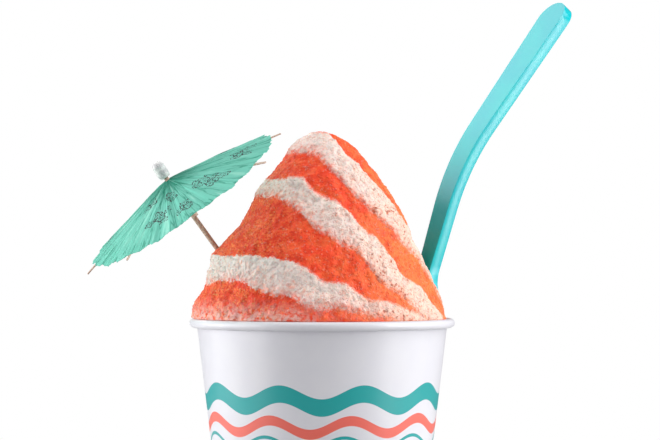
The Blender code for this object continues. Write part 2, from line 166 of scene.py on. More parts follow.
def ramp(tree, value, low, high, start=0, end=1):
    # value from low to high becomes start to end, eased
    settings = {"Value": value, "From Min": low, "From Max": high, "To Min": start, "To Max": end}
    return node(tree, "ShaderNodeMapRange", settings, interpolation_type="SMOOTHSTEP").outputs[0]


def blend(tree, share, first, second):
    made = node(tree, "ShaderNodeMix", data_type="RGBA", clamp_factor=True)
    for key, value in ((0, share), (6, first), (7, second)):
        feed(tree, made.inputs[key], value)
    return made.outputs[2]


def speckle(tree, place, size, detail):
    # noise whose lumps are about this size, in metres
    settings = {"Vector": place, "Scale": 1 / size, "Detail": detail}
    return node(tree, "ShaderNodeTexNoise", settings).outputs["Fac"]


def relief(tree, height, distance, strength, before=None):
    settings = {"Height": height, "Distance": distance, "Strength": strength}
    if before:
        settings["Normal"] = before
    return node(tree, "ShaderNodeBump", settings).outputs[0]


def newMaterial(name):
    made = bpy.data.materials.new(name)
    made.use_nodes = True
    tree = made.node_tree
    place = node(tree, "ShaderNodeTexCoord").outputs["Object"]
    return made, tree, tree.nodes["Principled BSDF"], place


def newGroup(name, inputs, outputs):
    # inputs and outputs are (name, kind) pairs, kind Float, Vector or Color
    tree = bpy.data.node_groups.new(name, "ShaderNodeTree")
    for direction, rows in (("INPUT", inputs), ("OUTPUT", outputs)):
        for label, kind in rows:
            tree.interface.new_socket(name=label, in_out=direction, socket_type="NodeSocket" + kind)
    start = tree.nodes.new("NodeGroupInput")
    end = tree.nodes.new("NodeGroupOutput")
    return tree, start.outputs, end.inputs


def useGroup(tree, group, **inputs):
    made = tree.nodes.new("ShaderNodeGroup")
    made.node_tree = group
    for key, value in inputs.items():
        feed(tree, made.inputs[key], value)
    return made.outputs


# Camera, lights and floor

studio = {
    "camera": Vector((2.9, -900, 137.5)) * mm,  # from the cup's axis at the floor
    "pitch": 0.69,                              # degrees above level
    "lens": 132.7,
    "ambient": 0.18,
    # turn from the camera's side to the right, height, distance, width, tall, power
    "softBoxes": (
        ("leftBox", -80, 0.30, 0.75, 0.50, 0.80, 2.9),
        ("leftStrip", -58, 0.20, 0.75, 0.16, 0.50, 1.6),
        ("leftBackBox", -100, 0.15, 0.75, 0.50, 0.28, 2.4),
        ("rightBox", 85, 0.15, 0.75, 0.50, 0.28, 1.9),
        ("rightStrip", 64, 0.22, 0.75, 0.16, 0.50, 2.8),
        ("rightHighBox", 80, 0.65, 0.60, 0.50, 0.50, 3.5),
        ("topBox", 0, 1.00, 0.10, 0.50, 0.50, 1.5),
        ("backBox", -135, 0.66, 0.60, 0.60, 0.60, 2.6),
    ),
    "floorSeen": (0.9, 0.9, 0.9, 1),
    "floorBounce": (0.3, 0.3, 0.3, 1),   # how light the floor is for what it throws back up
    "floorRadius": 0.8,
    "floorFade": 0.35,                   # metres from the axis, where the floor starts to fade
    "floorLow": -0.0002,
    "aimHeight": 0.12,                   # where the soft boxes point, on the cup's axis
}

bpy.ops.object.select_all(action="DESELECT")
bpy.ops.object.camera_add(
    location=studio["camera"] + Vector((cupX, 0, 0)),
    rotation=(math.radians(90 + studio["pitch"]), 0, 0),
)
camera = bpy.context.object
camera.name = "camera"
camera.data.lens = studio["lens"]
camera.data.sensor_width = 36
camera.data.clip_start = 0.01
camera.data.clip_end = 20
bpy.context.scene.camera = camera
bpy.context.scene.view_settings.view_transform = "Standard"

for name, turn, height, distance, width, tall, power in studio["softBoxes"]:
    angle = math.radians(turn)
    spot = Vector((cupX + distance * math.sin(angle), -distance * math.cos(angle), height))
    aim = Vector((cupX, 0, studio["aimHeight"]))
    bpy.ops.object.light_add(
        type="AREA", location=spot, rotation=(spot - aim).to_track_quat("Z", "Y").to_euler()
    )
    lamp = bpy.context.object
    lamp.name = name
    lamp.data.shape = "RECTANGLE"
    lamp.data.size = width
    lamp.data.size_y = tall
    lamp.data.energy = power

world = bpy.data.worlds.new("studioWhite")
bpy.context.scene.world = world
world.use_nodes = True
sky = world.node_tree
seen = sky.nodes["Background"]
seen.inputs["Color"].default_value = (1, 1, 1, 1)
seen.inputs["Strength"].default_value = 1
around = node(sky, "ShaderNodeBackground", {"Color": (1, 1, 1, 1), "Strength": studio["ambient"]})
pathKind = node(sky, "ShaderNodeLightPath")
choice = node(sky, "ShaderNodeMixShader", {"Fac": pathKind.outputs["Is Camera Ray"]})
sky.links.new(around.outputs[0], choice.inputs[1])
sky.links.new(seen.outputs[0], choice.inputs[2])
sky.links.new(choice.outputs[0], sky.nodes["World Output"].inputs["Surface"])

bpy.ops.mesh.primitive_circle_add(
    vertices=96, radius=studio["floorRadius"], fill_type="NGON",
    location=(cupX, 0, studio["floorLow"]),
)
floor = bpy.context.object
floor.name = "floor"
floorPaint, tree, shader, place = newMaterial("floorPaint")
bounced = node(tree, "ShaderNodeLightPath").outputs["Is Diffuse Ray"]
paint = blend(tree, bounced, studio["floorSeen"], studio["floorBounce"])
tree.links.new(paint, shader.inputs["Base Color"])
shader.inputs["Roughness"].default_value = 0.6
reach = node(tree, "ShaderNodeVectorMath", {0: place}, operation="LENGTH").outputs["Value"]
fade = ramp(tree, reach, studio["floorFade"], studio["floorRadius"], 1, 0)
tree.links.new(fade, shader.inputs["Alpha"])
floor.data.materials.append(floorPaint)
print("camera, lights and floor made")


# The ice: its shape

iceShape = {
    "height": 69.4 * mm,  # over the rim
    "radius": 47.5 * mm,
    "power": 0.6,         # how round the heap's outline is
    "slope": 0.65,        # how far upwards the relief is raised
    "shoulder": (1.2 * mm, 25 * mm, 6 * mm),   # size, height, spread
    "leans": (-1.3 * mm, 0.6 * mm),            # to the right, below and above the lean height
    "leanHeight": (31 * mm, 4 * mm),           # and the spread between the two
    "leanFade": 14 * mm,                       # the heap's radius under which it leans less
    "ledges": (0.9 * mm, (24 * mm, 6 * mm), 2.4 * mm),         # size, heights, spread
    "lumps": ((1.0 * mm, 10 * mm), (0.6 * mm, 3.1 * mm)),      # size, spacing
    "lumpPlace": Vector((7.3, 0, 0)),
    "grains": ((0.26 * mm, 1.5 * mm), (0.2 * mm, 0.8 * mm)),   # size, spacing
    "reliefStart": 2 * mm,        # below the rim
    "fullRelief": 4 * mm,         # over the start
    "footFade": (-1.2 * mm, 1 * mm),   # from the rim, where the relief sets in
    "footStep": 0.4 * mm,         # inside the heap's foot, where the ice leaves the rolled rim
    "gap": 0.3 * mm,              # between the ice and the cup
    "voxel": 0.52 * mm,
    "sides": 96,
    "steps": 60,
    "crowding": 1.4,              # how much closer the rings are towards the top
    "stub": (-4 * mm, -3 * mm),   # under the rim, cut off again where the plain ice starts
    "packed": -3.6 * mm,          # where the plain ice starts
    "highSide": math.radians(15),   # the turn where the stripes lie highest
    "backFall": 1.08,               # how much sooner they fall round the back
    "sink": 0.4 * mm,               # how much lower the ice lies in the syrup
    "edge": 0.9 * mm,               # how far that step is spread over a stripe's edge
    # height on the high side, turns where it starts to fall and meets the rim, lateness
    "stripes": (
        (69.0 * mm, 108, 190, 1.05),
        (61.0 * mm, 63, 176, 1.3),
        (51.4 * mm, 50, 149, 1.6),
        (44.7 * mm, 32, 130, 1.6),
        (23.2 * mm, 48, 133, 1.0),
        (14.0 * mm, 28, 112, 0.8),
    ),
    "wander": ((0.6 * mm, 11), (0.4 * mm, 26)),   # size, and how quickly it changes round the heap
    # where the syrup ran: stripe edge from the top, turn, how far up, how many degrees wide
    "runs": (
        (0, 128, -4.5 * mm, 5), (1, 106, 1.7 * mm, 9), (1, 163, 2.4 * mm, 7),
        (2, 84, -1.0 * mm, 7), (2, 105, 1.9 * mm, 9), (2, 127, 1.6 * mm, 5), (2, 139, -3.2 * mm, 6),
        (3, 84, -1.2 * mm, 6), (3, 109, 1.6 * mm, 5), (3, 122, -1.9 * mm, 6),
        (4, 73, 0.9 * mm, 5), (4, 90, -1.0 * mm, 5), (4, 113, -2.0 * mm, 6),
        (5, 17, -1.8 * mm, 9), (5, 50, 1.3 * mm, 11), (5, 75, 1.6 * mm, 5), (5, 86, -1.3 * mm, 6),
    ),
}

cupShape = {
    "bead": (47.35 * mm, 110.35 * mm, 1.65 * mm),   # radius and height of its middle, its radius
    "wall": 0.6 * mm,
    "foot": 33 * mm,
    "taper": 0.1205,                 # outwards for each unit of height
    "foldHeight": 6.3 * mm,
    "foldRadius": 31.4 * mm,
    "edge": 0.25 * mm,
    "sides": 192,
    "wallRings": (3, 6.3, 20, 40, 60, 80, 100, 108.3),   # mm up the outer face
    "innerRing": 60 * mm,
    "beadSteps": 26,
    "seam": (246, 255, 0.28 * mm),   # turns of its low and high edge, and the paper's thickness
    "seamTop": 108 * mm,
    "baseTop": 7.2 * mm,
}


def hump(height, middle, spread):
    return math.exp(-(((height - middle) / spread) ** 2))


def heapReach(height, turn):
    shape = iceShape
    cone = shape["radius"] * max(0, 1 - height / shape["height"]) ** shape["power"]
    if height < 0:
        cone = shape["radius"]
    leftness = (1 + math.cos(turn)) / 2
    size, middle, spread = shape["shoulder"]
    shoulder = size * leftness * hump(height, middle, spread)
    size, middles, spread = shape["ledges"]
    ledge = size * leftness**2 * sum(hump(height, middle, spread) for middle in middles)
    middle, spread = shape["leanHeight"]
    upper = smoothStep(middle - spread, middle + spread, height)
    low, high = shape["leans"]
    lean = (low + (high - low) * upper) * min(1, cone / shape["leanFade"])
    return cone + shoulder + ledge - lean * math.cos(turn)


def stripeEdges(turn):
    away = (turn - iceShape["highSide"] + math.pi) % math.tau - math.pi
    away = math.degrees(abs(away)) * (iceShape["backFall"] if away < 0 else 1)
    edges = []
    for number, (top, start, end, power) in enumerate(iceShape["stripes"]):
        share = (away - start) / (end - start)
        edge = top * (1 - max(0, share) ** power)
        for size, speed in iceShape["wander"] if number else ():
            way = Vector((math.cos(turn), math.sin(turn), 0)) * speed / math.pi
            edge += size * noise.noise(way + Vector((0, 0, number * 7.3)))
        edges.append(edge)
    for number, middle, size, spread in iceShape["runs"]:
        edges[number] += size * hump(math.degrees(turn), middle, spread)
    return edges


def syrupAt(height, turn):
    # how deep in the syrup, and how far above the stripe below, up or down the side
    edges = stripeEdges(turn)
    depth = max(
        height - edges[0],
        min(height - edges[2], edges[1] - height),
        min(height - edges[4], edges[3] - height),
        edges[5] - height,
    )
    above = min([height - edge for edge in edges[1::2] if edge < height] or [1])
    return depth, above


def iceRelief(point, height, turn):
    depth, above = syrupAt(height, turn)
    total = -iceShape["sink"] * math.tanh(depth / iceShape["edge"])
    for size, spacing in iceShape["lumps"]:
        total += size * noise.noise(point / spacing + iceShape["lumpPlace"])
    for size, spacing in iceShape["grains"]:
        total += size * noise.noise(point / spacing)
    shown = smoothStep(0, iceShape["fullRelief"], height + iceShape["reliefStart"])
    return total * shown, depth, above


def ring(radius, height, count):
    turns = [math.tau * step / count for step in range(count)]
    return [
        Vector((cupX - radius * math.cos(turn), -radius * math.sin(turn), height))
        for turn in turns
    ]


def makeIce():
    beadRadius, beadHeight, bead = cupShape["bead"]
    clear = bead + iceShape["gap"]
    inner = beadRadius - clear
    front = math.pi / 2
    # up past the inside of the rolled rim, round over it, and on up the heap
    profile = [(inner, height) for height in (*iceShape["stub"], beadHeight - cupTop)]
    out = heapReach(0, front) - iceShape["footStep"] - beadRadius
    last = math.acos(min(0, out / clear))
    for share in (0.25, 0.5, 0.75, 1):
        angle = math.pi + (last - math.pi) * share
        low = beadHeight - cupTop + clear * math.sin(angle)
        profile.append((beadRadius + clear * math.cos(angle), low))
    steps = iceShape["steps"]
    for step in range(1, steps):
        height = iceShape["height"] * (1 - (1 - step / steps) ** iceShape["crowding"])
        profile.append((heapReach(height, front), height))
    rings = [ring(radius, cupTop + height, iceShape["sides"]) for radius, height in profile]
    obj = extrudeThrough("shavedIce", rings)
    applyModifier(obj, "REMESH", mode="VOXEL", voxel_size=iceShape["voxel"])

    # the packed ice below is plain, so the dense faces under the heap are taken off
    pickOnly(obj)
    bpy.ops.object.mode_set(mode="EDIT")
    bpy.ops.mesh.select_all(action="DESELECT")
    mesh = bmesh.from_edit_mesh(obj.data)
    for face in mesh.faces:
        face.select = face.calc_center_median().z < cupTop + iceShape["packed"]
    bmesh.update_edit_mesh(obj.data)
    bpy.ops.mesh.delete(type="FACE")
    bpy.ops.mesh.select_all(action="DESELECT")
    bpy.ops.mesh.select_non_manifold()
    low = cupShape["baseTop"] + iceShape["gap"]
    lowRadius = cupShape["foot"] + cupShape["taper"] * low - cupShape["wall"] - iceShape["gap"]
    down = low - (cupTop + iceShape["packed"])
    bpy.ops.mesh.extrude_region_move(TRANSFORM_OT_translate={"value": (0, 0, down)})
    share = lowRadius / inner
    bpy.ops.transform.resize(value=(share, share, 1), center_override=(cupX, 0, low))
    bpy.ops.mesh.edge_face_add()
    bpy.ops.mesh.select_all(action="SELECT")
    bpy.ops.mesh.normals_make_consistent(inside=False)
    bpy.ops.object.mode_set(mode="OBJECT")

    # the spun heap takes its leaning shape, its stripes and its grainy relief
    depths, aboves = [], []
    for corner in obj.data.vertices:
        side = corner.co - Vector((cupX, 0, 0))
        height = side.z - cupTop
        radius = math.hypot(side.x, side.y)
        turn = math.atan2(-side.y, -side.x) % math.tau
        depth, above = syrupAt(max(0, height), turn)
        if height > beadHeight - cupTop and radius > 1e-9:
            plain = heapReach(max(0, height), front)
            wanted = heapReach(max(0, height), turn)
            if height < clear + beadHeight - cupTop:
                start = min(radius, inner)
                share = (radius - start) / (plain - start)
                wide = start + share * (wanted - start)
            else:
                wide = radius * wanted / plain
            point = Vector((-wide * math.cos(turn), -wide * math.sin(turn), cupTop + height))
            outwards = Vector((-math.cos(turn), -math.sin(turn), iceShape["slope"])).normalized()
            lift, depth, above = iceRelief(point, height, turn)
            point += outwards * lift * smoothStep(*iceShape["footFade"], height)
            corner.co = point + Vector((cupX, 0, 0))
        depths.append(max(-9, min(9, depth / mm)))
        aboves.append(min(9, above / mm))
    for label, values in (("syrup", depths), ("above", aboves)):
        attribute = obj.data.attributes.new(label, "FLOAT", "POINT")
        attribute.data.foreach_set("value", values)
    pickOnly(obj)
    bpy.ops.object.shade_smooth()
    print("ice made,", len(obj.data.polygons), "faces")
    return obj


# The ice: its finish

iceLook = {
    # the left tones are darker than the others: painted shade on the heap's left flank, under the
    # parasol
    "creamLeftShaded": tone(230, 215, 208),
    "creamMid": tone(244, 222, 212),
    "creamRight": tone(247, 206, 189),
    "orangeLeftShaded": tone(234, 62, 20),
    "orangeMid": tone(255, 74, 36),
    # lighter than the middle tone: partly the syrup's own tone, partly painted light from the right
    "orangeRightLit": tone(254, 116, 58),
    "leftTones": (-30 * mm, 2 * mm),    # from the axis, where these tones are full and gone
    "rightTones": (-2 * mm, 32 * mm),   # where these are gone and full
    "toneShift": 30 * mm,               # how far the wide patches push the tones about
    "patches": (4.5 * mm, 1.5 * mm, 0.55 * mm),   # wide, middle and fine
    "golden": tone(248, 176, 100),
    "goldenShares": (0.15, 0.52),       # on the right and on the left
    "darkFleck": tone(214, 46, 22),
    "darkShares": (0.35, 0.8),
    "pit": tone(188, 88, 60),
    "pitSize": 1.15 * mm,
    "pitShares": (0.3, 0.85, 0.35),     # on the left, on the right, and how many in the syrup
    "stain": tone(250, 190, 168),
    "stainShare": 0.55,
    "sparkle": tone(252, 236, 224),
    "ragged": 2.2,          # mm that the stripes' edges wander
    "haze": 2.0,            # mm that the syrup creeps up above a stripe
    "soft": (0.35, 1.2),    # mm that a stripe's edge takes to fade, on the left and on the right
    "thinned": 0.62,        # how much paler the syrup is at the rim
    "thinnedTop": 9 * mm,   # over the rim, where it is full again
    "thinnedSide": (-14 * mm, 6 * mm),
    "roughness": (0.5, 0.75),
    "subsurface": 0.35,
}


def makeIceGroup():
    # syrup that wanders, creeps up and thins out, with flecks, stains and pits
    tree, start, end = newGroup(
        "iceStripes",
        (("Place", "Vector"), ("Syrup", "Float"), ("Above", "Float")),
        (("Colour", "Color"), ("SyrupTone", "Color"), ("Fine", "Float"), ("PitNoise", "Float")),
    )
    look, place = iceLook, start["Place"]
    wide, middle, fine = (
        speckle(tree, place, size, detail) for size, detail in zip(look["patches"], (3, 2, 2))
    )
    crisp = calc(tree, "SUBTRACT", calc(tree, "ADD", middle, fine), 1)
    depth = calc(tree, "ADD", start["Syrup"], calc(tree, "MULTIPLY", crisp, look["ragged"]))
    creep = calc(tree, "EXPONENT", calc(tree, "DIVIDE", start["Above"], -look["haze"]))
    creep = calc(tree, "MULTIPLY", creep, ramp(tree, middle, 0.35, 0.62, 0.2, 0.8))

    sides = node(tree, "ShaderNodeSeparateXYZ", {0: place}).outputs
    shift = calc(tree, "MULTIPLY", calc(tree, "SUBTRACT", wide, 0.5), look["toneShift"])
    across = calc(tree, "ADD", calc(tree, "SUBTRACT", sides["X"], cupX), shift)
    leftShare = ramp(tree, across, *look["leftTones"], 1, 0)
    rightShare = ramp(tree, across, *look["rightTones"])
    left, right = look["soft"]
    soft = ramp(tree, leftShare, 0, 1, right, left)
    inSyrup = ramp(tree, depth, calc(tree, "MULTIPLY", soft, -1), soft)

    # cream: painted shade on the left, and a pinker tone on the right
    cream = blend(tree, leftShare, look["creamMid"], look["creamLeftShaded"])
    cream = blend(tree, rightShare, cream, look["creamRight"])
    stained = calc(tree, "MULTIPLY", ramp(tree, middle, 0.5, 0.66), ramp(tree, wide, 0.42, 0.6))
    cream = blend(tree, calc(tree, "MULTIPLY", stained, look["stainShare"]), cream, look["stain"])

    # orange: darker on the left, painted shade
    orange = blend(tree, leftShare, look["orangeMid"], look["orangeLeftShaded"])
    # lighter on the right: partly painted light
    orange = blend(tree, rightShare, orange, look["orangeRightLit"])
    flecks = calc(tree, "MULTIPLY", ramp(tree, fine, 0.5, 0.62), ramp(tree, wide, 0.3, 0.55))
    flecks = calc(tree, "MULTIPLY", flecks, ramp(tree, leftShare, 0, 1, *look["goldenShares"]))
    orange = blend(tree, flecks, orange, look["golden"])
    wet = ramp(tree, leftShare, 0, 1, *look["darkShares"])
    wet = calc(tree, "MULTIPLY", ramp(tree, fine, 0.46, 0.34), wet)
    orange = blend(tree, wet, orange, look["darkFleck"])
    orange = blend(tree, ramp(tree, wide, 0.5, 0.36, 0, 0.28), orange, look["darkFleck"])
    orange = blend(tree, ramp(tree, wide, 0.52, 0.66, 0, 0.35), orange, look["orangeRightLit"])
    thinned = ramp(tree, sides["Z"], cupTop, cupTop + look["thinnedTop"], look["thinned"], 0)
    thinned = calc(tree, "MULTIPLY", thinned, ramp(tree, middle, 0.28, 0.62))
    side = ramp(tree, across, *look["thinnedSide"], 1, 0.15)
    orange = blend(tree, calc(tree, "MULTIPLY", thinned, side), orange, cream)

    colour = blend(tree, inSyrup, blend(tree, creep, cream, orange), orange)
    pitNoise = speckle(tree, place, look["pitSize"], 1)
    few, many, wetShare = look["pitShares"]
    pits = calc(tree, "MULTIPLY", ramp(tree, pitNoise, 0.58, 0.67), ramp(tree, wide, 0.4, 0.56))
    pits = calc(tree, "MULTIPLY", pits, ramp(tree, rightShare, 0, 1, few, many))
    pits = calc(tree, "MULTIPLY", pits, ramp(tree, inSyrup, 0, 1, 1, wetShare))
    tree.links.new(blend(tree, pits, colour, look["pit"]), end["Colour"])
    tree.links.new(orange, end["SyrupTone"])
    tree.links.new(fine, end["Fine"])
    tree.links.new(pitNoise, end["PitNoise"])
    return tree


iceGroup = makeIceGroup()


def makeIceMaterial(name, loose):
    material, tree, shader, place = newMaterial(name)
    syrup = node(tree, "ShaderNodeAttribute", attribute_name="syrup").outputs["Fac"]
    above = node(tree, "ShaderNodeAttribute", attribute_name="above").outputs["Fac"]
    stripes = useGroup(tree, iceGroup, Place=place, Syrup=syrup, Above=above)
    colour = stripes["Colour"]
    if loose:
        # each grain is a little lighter than the heap, or nearer to the syrup
        tint = node(tree, "ShaderNodeAttribute", attribute_name="tint").outputs["Fac"]
        colour = blend(tree, ramp(tree, tint, 0.5, 1, 0, 0.14), colour, iceLook["sparkle"])
        colour = blend(tree, ramp(tree, tint, 0.4, 0, 0, 0.3), colour, stripes["SyrupTone"])
    tree.links.new(colour, shader.inputs["Base Color"])
    rough = ramp(tree, stripes["Fine"], 0.3, 0.7, *iceLook["roughness"])
    tree.links.new(rough, shader.inputs["Roughness"])
    shader.inputs["Specular IOR Level"].default_value = 0.3
    shader.inputs["Subsurface Weight"].default_value = iceLook["subsurface"]
    shader.inputs["Subsurface Radius"].default_value = (1, 0.5, 0.35)
    shader.inputs["Subsurface Scale"].default_value = 1.2 * mm
    grainy = relief(tree, stripes["Fine"], 0.2 * mm, 0.7)
    dented = calc(tree, "SUBTRACT", 1, stripes["PitNoise"])
    tree.links.new(relief(tree, dented, 0.35 * mm, 0.7, grainy), shader.inputs["Normal"])
    return material


grainShape = {
    "radius": 0.42 * mm,
    "sizes": ((0.6, 0.5, 0.22), (1.5, 1.2, 0.42)),   # smallest and largest, across and thick
    "tilt": 0.35,         # radians that a grain leans from lying flat, at most
    "jitter": 0.09 * mm,  # how far the first grain's corners are moved
    "count": 9400,        # grains in each piece
    "foot": 0.6 * mm,     # above the rim, where the grains start
    "seeds": (11, 21),    # of the cream and of the syrup grains
}


def makeGrainNodes(crystal, inSyrup, density, seed):
    # scatters the crystal over the heap, in or out of the syrup
    tree = bpy.data.node_groups.new("scatterGrains", "GeometryNodeTree")
    tree.interface.new_socket(name="Heap", in_out="INPUT", socket_type="NodeSocketGeometry")
    tree.interface.new_socket(name="Grains", in_out="OUTPUT", socket_type="NodeSocketGeometry")
    start = tree.nodes.new("NodeGroupInput")
    end = tree.nodes.new("NodeGroupOutput")
    syrup = node(tree, "GeometryNodeInputNamedAttribute", {"Name": "syrup"}, data_type="FLOAT")
    depth = syrup.outputs["Attribute"]
    chosen = calc(tree, "GREATER_THAN" if inSyrup else "LESS_THAN", depth, 0)
    place = node(tree, "GeometryNodeInputPosition").outputs[0]
    height = node(tree, "ShaderNodeSeparateXYZ", {0: place}).outputs["Z"]
    onHeap = calc(tree, "GREATER_THAN", height, cupTop + grainShape["foot"])
    allowed = calc(tree, "MULTIPLY", calc(tree, "MULTIPLY", chosen, onHeap), density)
    spread = node(tree, "GeometryNodeDistributePointsOnFaces", {
        "Mesh": start.outputs[0], "Density": allowed, "Seed": seed}, distribute_method="RANDOM")
    tilt = grainShape["tilt"]
    lean = node(tree, "FunctionNodeRandomValue", {
        0: (-tilt, -tilt, 0), 1: (tilt, tilt, math.tau), "Seed": seed + 1}, data_type="FLOAT_VECTOR")
    spin = node(tree, "FunctionNodeRotateRotation", {
        "Rotation": spread.outputs["Rotation"], "Rotate By": lean.outputs[0]}, rotation_space="LOCAL")
    small, large = grainShape["sizes"]
    scale = node(tree, "FunctionNodeRandomValue", {0: small, 1: large, "Seed": seed + 2},
                 data_type="FLOAT_VECTOR")
    made = node(tree, "GeometryNodeInstanceOnPoints", {
        "Points": spread.outputs["Points"],
        "Instance": node(tree, "GeometryNodeObjectInfo", {"Object": crystal}).outputs["Geometry"],
        "Rotation": spin.outputs[0],
        "Scale": scale.outputs[0],
    })
    shade = node(tree, "FunctionNodeRandomValue", {"Seed": seed + 3}, data_type="FLOAT")
    marked = node(tree, "GeometryNodeStoreNamedAttribute", {
        "Geometry": made.outputs[0], "Name": "tint", "Value": shade.outputs[1],
    }, data_type="FLOAT", domain="INSTANCE")
    real = node(tree, "GeometryNodeRealizeInstances", {"Geometry": marked.outputs[0]})
    tree.links.new(real.outputs[0], end.inputs[0])
    return tree


def makeGrains(heap):
    bpy.ops.object.select_all(action="DESELECT")
    bpy.ops.mesh.primitive_ico_sphere_add(subdivisions=1, radius=grainShape["radius"])
    crystal = bpy.context.object
    crystal.name = "crystalFirst"
    bpy.ops.object.mode_set(mode="EDIT")
    bpy.ops.mesh.select_all(action="SELECT")
    bpy.ops.transform.vertex_random(offset=grainShape["jitter"], seed=4)
    bpy.ops.object.mode_set(mode="OBJECT")
    areas = [0, 0]
    values = heap.data.attributes["syrup"].data
    for face in heap.data.polygons:
        if face.center.z > cupTop + grainShape["foot"]:
            areas[values[face.vertices[0]].value > 0] += face.area
    made = []
    for inSyrup, name in ((False, "looseCreamGrains"), (True, "looseSyrupGrains")):
        pickOnly(heap)
        bpy.ops.object.duplicate()
        grains = bpy.context.object
        grains.name = name
        grains.data.name = name
        density = grainShape["count"] / areas[inSyrup]
        tree = makeGrainNodes(crystal, inSyrup, density, grainShape["seeds"][inSyrup])
        applyModifier(grains, "NODES", node_group=tree)
        made.append(grains)
        print(name, len(grains.data.polygons), "faces")
    bpy.data.objects.remove(crystal)
    return made


ice = makeIce()
iceMaterial = makeIceMaterial("syrupIce", False)
looseMaterial = makeIceMaterial("looseIce", True)
looseGrains = makeGrains(ice)
finishPiece(ice, iceMaterial, "syrup_ice", "shaved_ice")
for grains in looseGrains:
    finishPiece(grains, looseMaterial, "syrup_ice")


# The cup

cupLook = {
    "paper": tone(220, 219, 225),
    "paperShade": tone(218, 217, 224),
    "inks": {"teal": tone(8, 156, 156), "coral": tone(232, 104, 90)},
    # ink, height, width and swing in mm, waves round the cup, where they start
    "stripes": (
        ("teal", 84, 6.2, 2.4, 9, 0.0),
        ("coral", 74.5, 3.6, 2.4, 9, 0.9),
        ("teal", 68.5, 1.2, 2.4, 9, 1.4),
        ("coral", 30, 1.2, 1.6, 14, 0.3),
        ("teal", 24, 4.0, 1.6, 14, 0.8),
    ),
    "inkEdge": 0.06 * mm,
    "fibre": 0.9 * mm,
    "roughness": (0.3, 0.33),
}


def makeCup():
    beadRadius, beadHeight, bead = cupShape["bead"]
    foot, taper, edge = cupShape["foot"], cupShape["taper"], cupShape["edge"]
    fold, foldRadius = cupShape["foldHeight"], cupShape["foldRadius"]

    def outer(height):
        return foot + taper * height

    profile = [(foot - edge, 0), (foot, edge)]
    profile += [(outer(height * mm), height * mm) for height in cupShape["wallRings"]]
    steps = cupShape["beadSteps"]
    for step in range(steps + 1):
        angle = math.pi - (steps - step) / steps * math.pi * 7 / 4
        profile.append((beadRadius + bead * math.cos(angle), beadHeight + bead * math.sin(angle)))
    profile += [
        (outer(cupShape["innerRing"]) - cupShape["wall"], cupShape["innerRing"]),
        (outer(fold) - cupShape["wall"], fold),
        (foldRadius, fold - cupShape["wall"] / 2),
        (foldRadius, edge),
        (foldRadius + edge, 0),
        (foot - edge, 0),
    ]
    bpy.ops.object.select_all(action="DESELECT")
    bpy.ops.mesh.primitive_circle_add(
        vertices=cupShape["sides"], radius=profile[0][0], fill_type="NOTHING",
        location=(cupX, 0, profile[0][1]),
    )
    obj = bpy.context.object
    obj.name = "cupWall"
    bpy.ops.object.transform_apply(location=True, rotation=True, scale=True)
    bpy.ops.object.mode_set(mode="EDIT")
    bpy.ops.mesh.select_all(action="SELECT")
    for here, there in zip(profile, profile[1:]):
        bpy.ops.mesh.extrude_region_move(
            TRANSFORM_OT_translate={"value": (0, 0, there[1] - here[1])}
        )
        share = there[0] / here[0]
        bpy.ops.transform.resize(value=(share, share, 1), center_override=(cupX, 0, there[1]))
    bpy.ops.mesh.select_all(action="SELECT")
    bpy.ops.mesh.remove_doubles(threshold=0.02 * mm)
    bpy.ops.mesh.normals_make_consistent(inside=False)

    # the side seam: the blank's end lies over its start, and its edge stands proud
    seamLow, seamHigh, thick = cupShape["seam"]

    def turnOf(point):
        return math.degrees(math.atan2(-point.y, cupX - point.x)) % 360

    bpy.ops.mesh.select_all(action="DESELECT")
    mesh = bmesh.from_edit_mesh(obj.data)
    for face in mesh.faces:
        middle = face.calc_center_median()
        wide = math.hypot(middle.x - cupX, middle.y)
        onWall = edge < middle.z < cupShape["seamTop"] and wide > outer(middle.z) - 0.2 * mm
        face.select = onWall and seamLow < turnOf(middle) < seamHigh
    bmesh.update_edit_mesh(obj.data)
    bpy.ops.mesh.extrude_region_shrink_fatten(TRANSFORM_OT_shrink_fatten={"value": thick})
    mesh = bmesh.from_edit_mesh(obj.data)
    for corner in mesh.verts:
        if corner.select:
            share = (turnOf(corner.co) - seamLow) / (seamHigh - seamLow)
            wide = math.hypot(corner.co.x - cupX, corner.co.y)
            wanted = wide - thick * (1 - min(1, max(0.1, share)))
            corner.co.x = cupX + (corner.co.x - cupX) * wanted / wide
            corner.co.y *= wanted / wide
    bmesh.update_edit_mesh(obj.data)
    bpy.ops.object.mode_set(mode="OBJECT")
    bpy.ops.object.shade_smooth_by_angle(angle=math.radians(32))
    return obj


def makeWaveGroup():
    # one wavy printed stripe
    tree, start, end = newGroup(
        "waveStripe",
        (("Turn", "Float"), ("Height", "Float"), ("Middle", "Float"), ("Width", "Float"),
         ("Swing", "Float"), ("Waves", "Float"), ("Phase", "Float")),
        (("Mask", "Float"),),
    )
    angle = calc(tree, "ADD", calc(tree, "MULTIPLY", start["Turn"], start["Waves"]), start["Phase"])
    swing = calc(tree, "MULTIPLY", calc(tree, "SINE", angle), start["Swing"])
    middle = calc(tree, "ADD", start["Middle"], swing)
    away = calc(tree, "ABSOLUTE", calc(tree, "SUBTRACT", start["Height"], middle))
    inside = calc(tree, "SUBTRACT", calc(tree, "MULTIPLY", start["Width"], 0.5), away)
    tree.links.new(ramp(tree, inside, -cupLook["inkEdge"], cupLook["inkEdge"]), end["Mask"])
    return tree


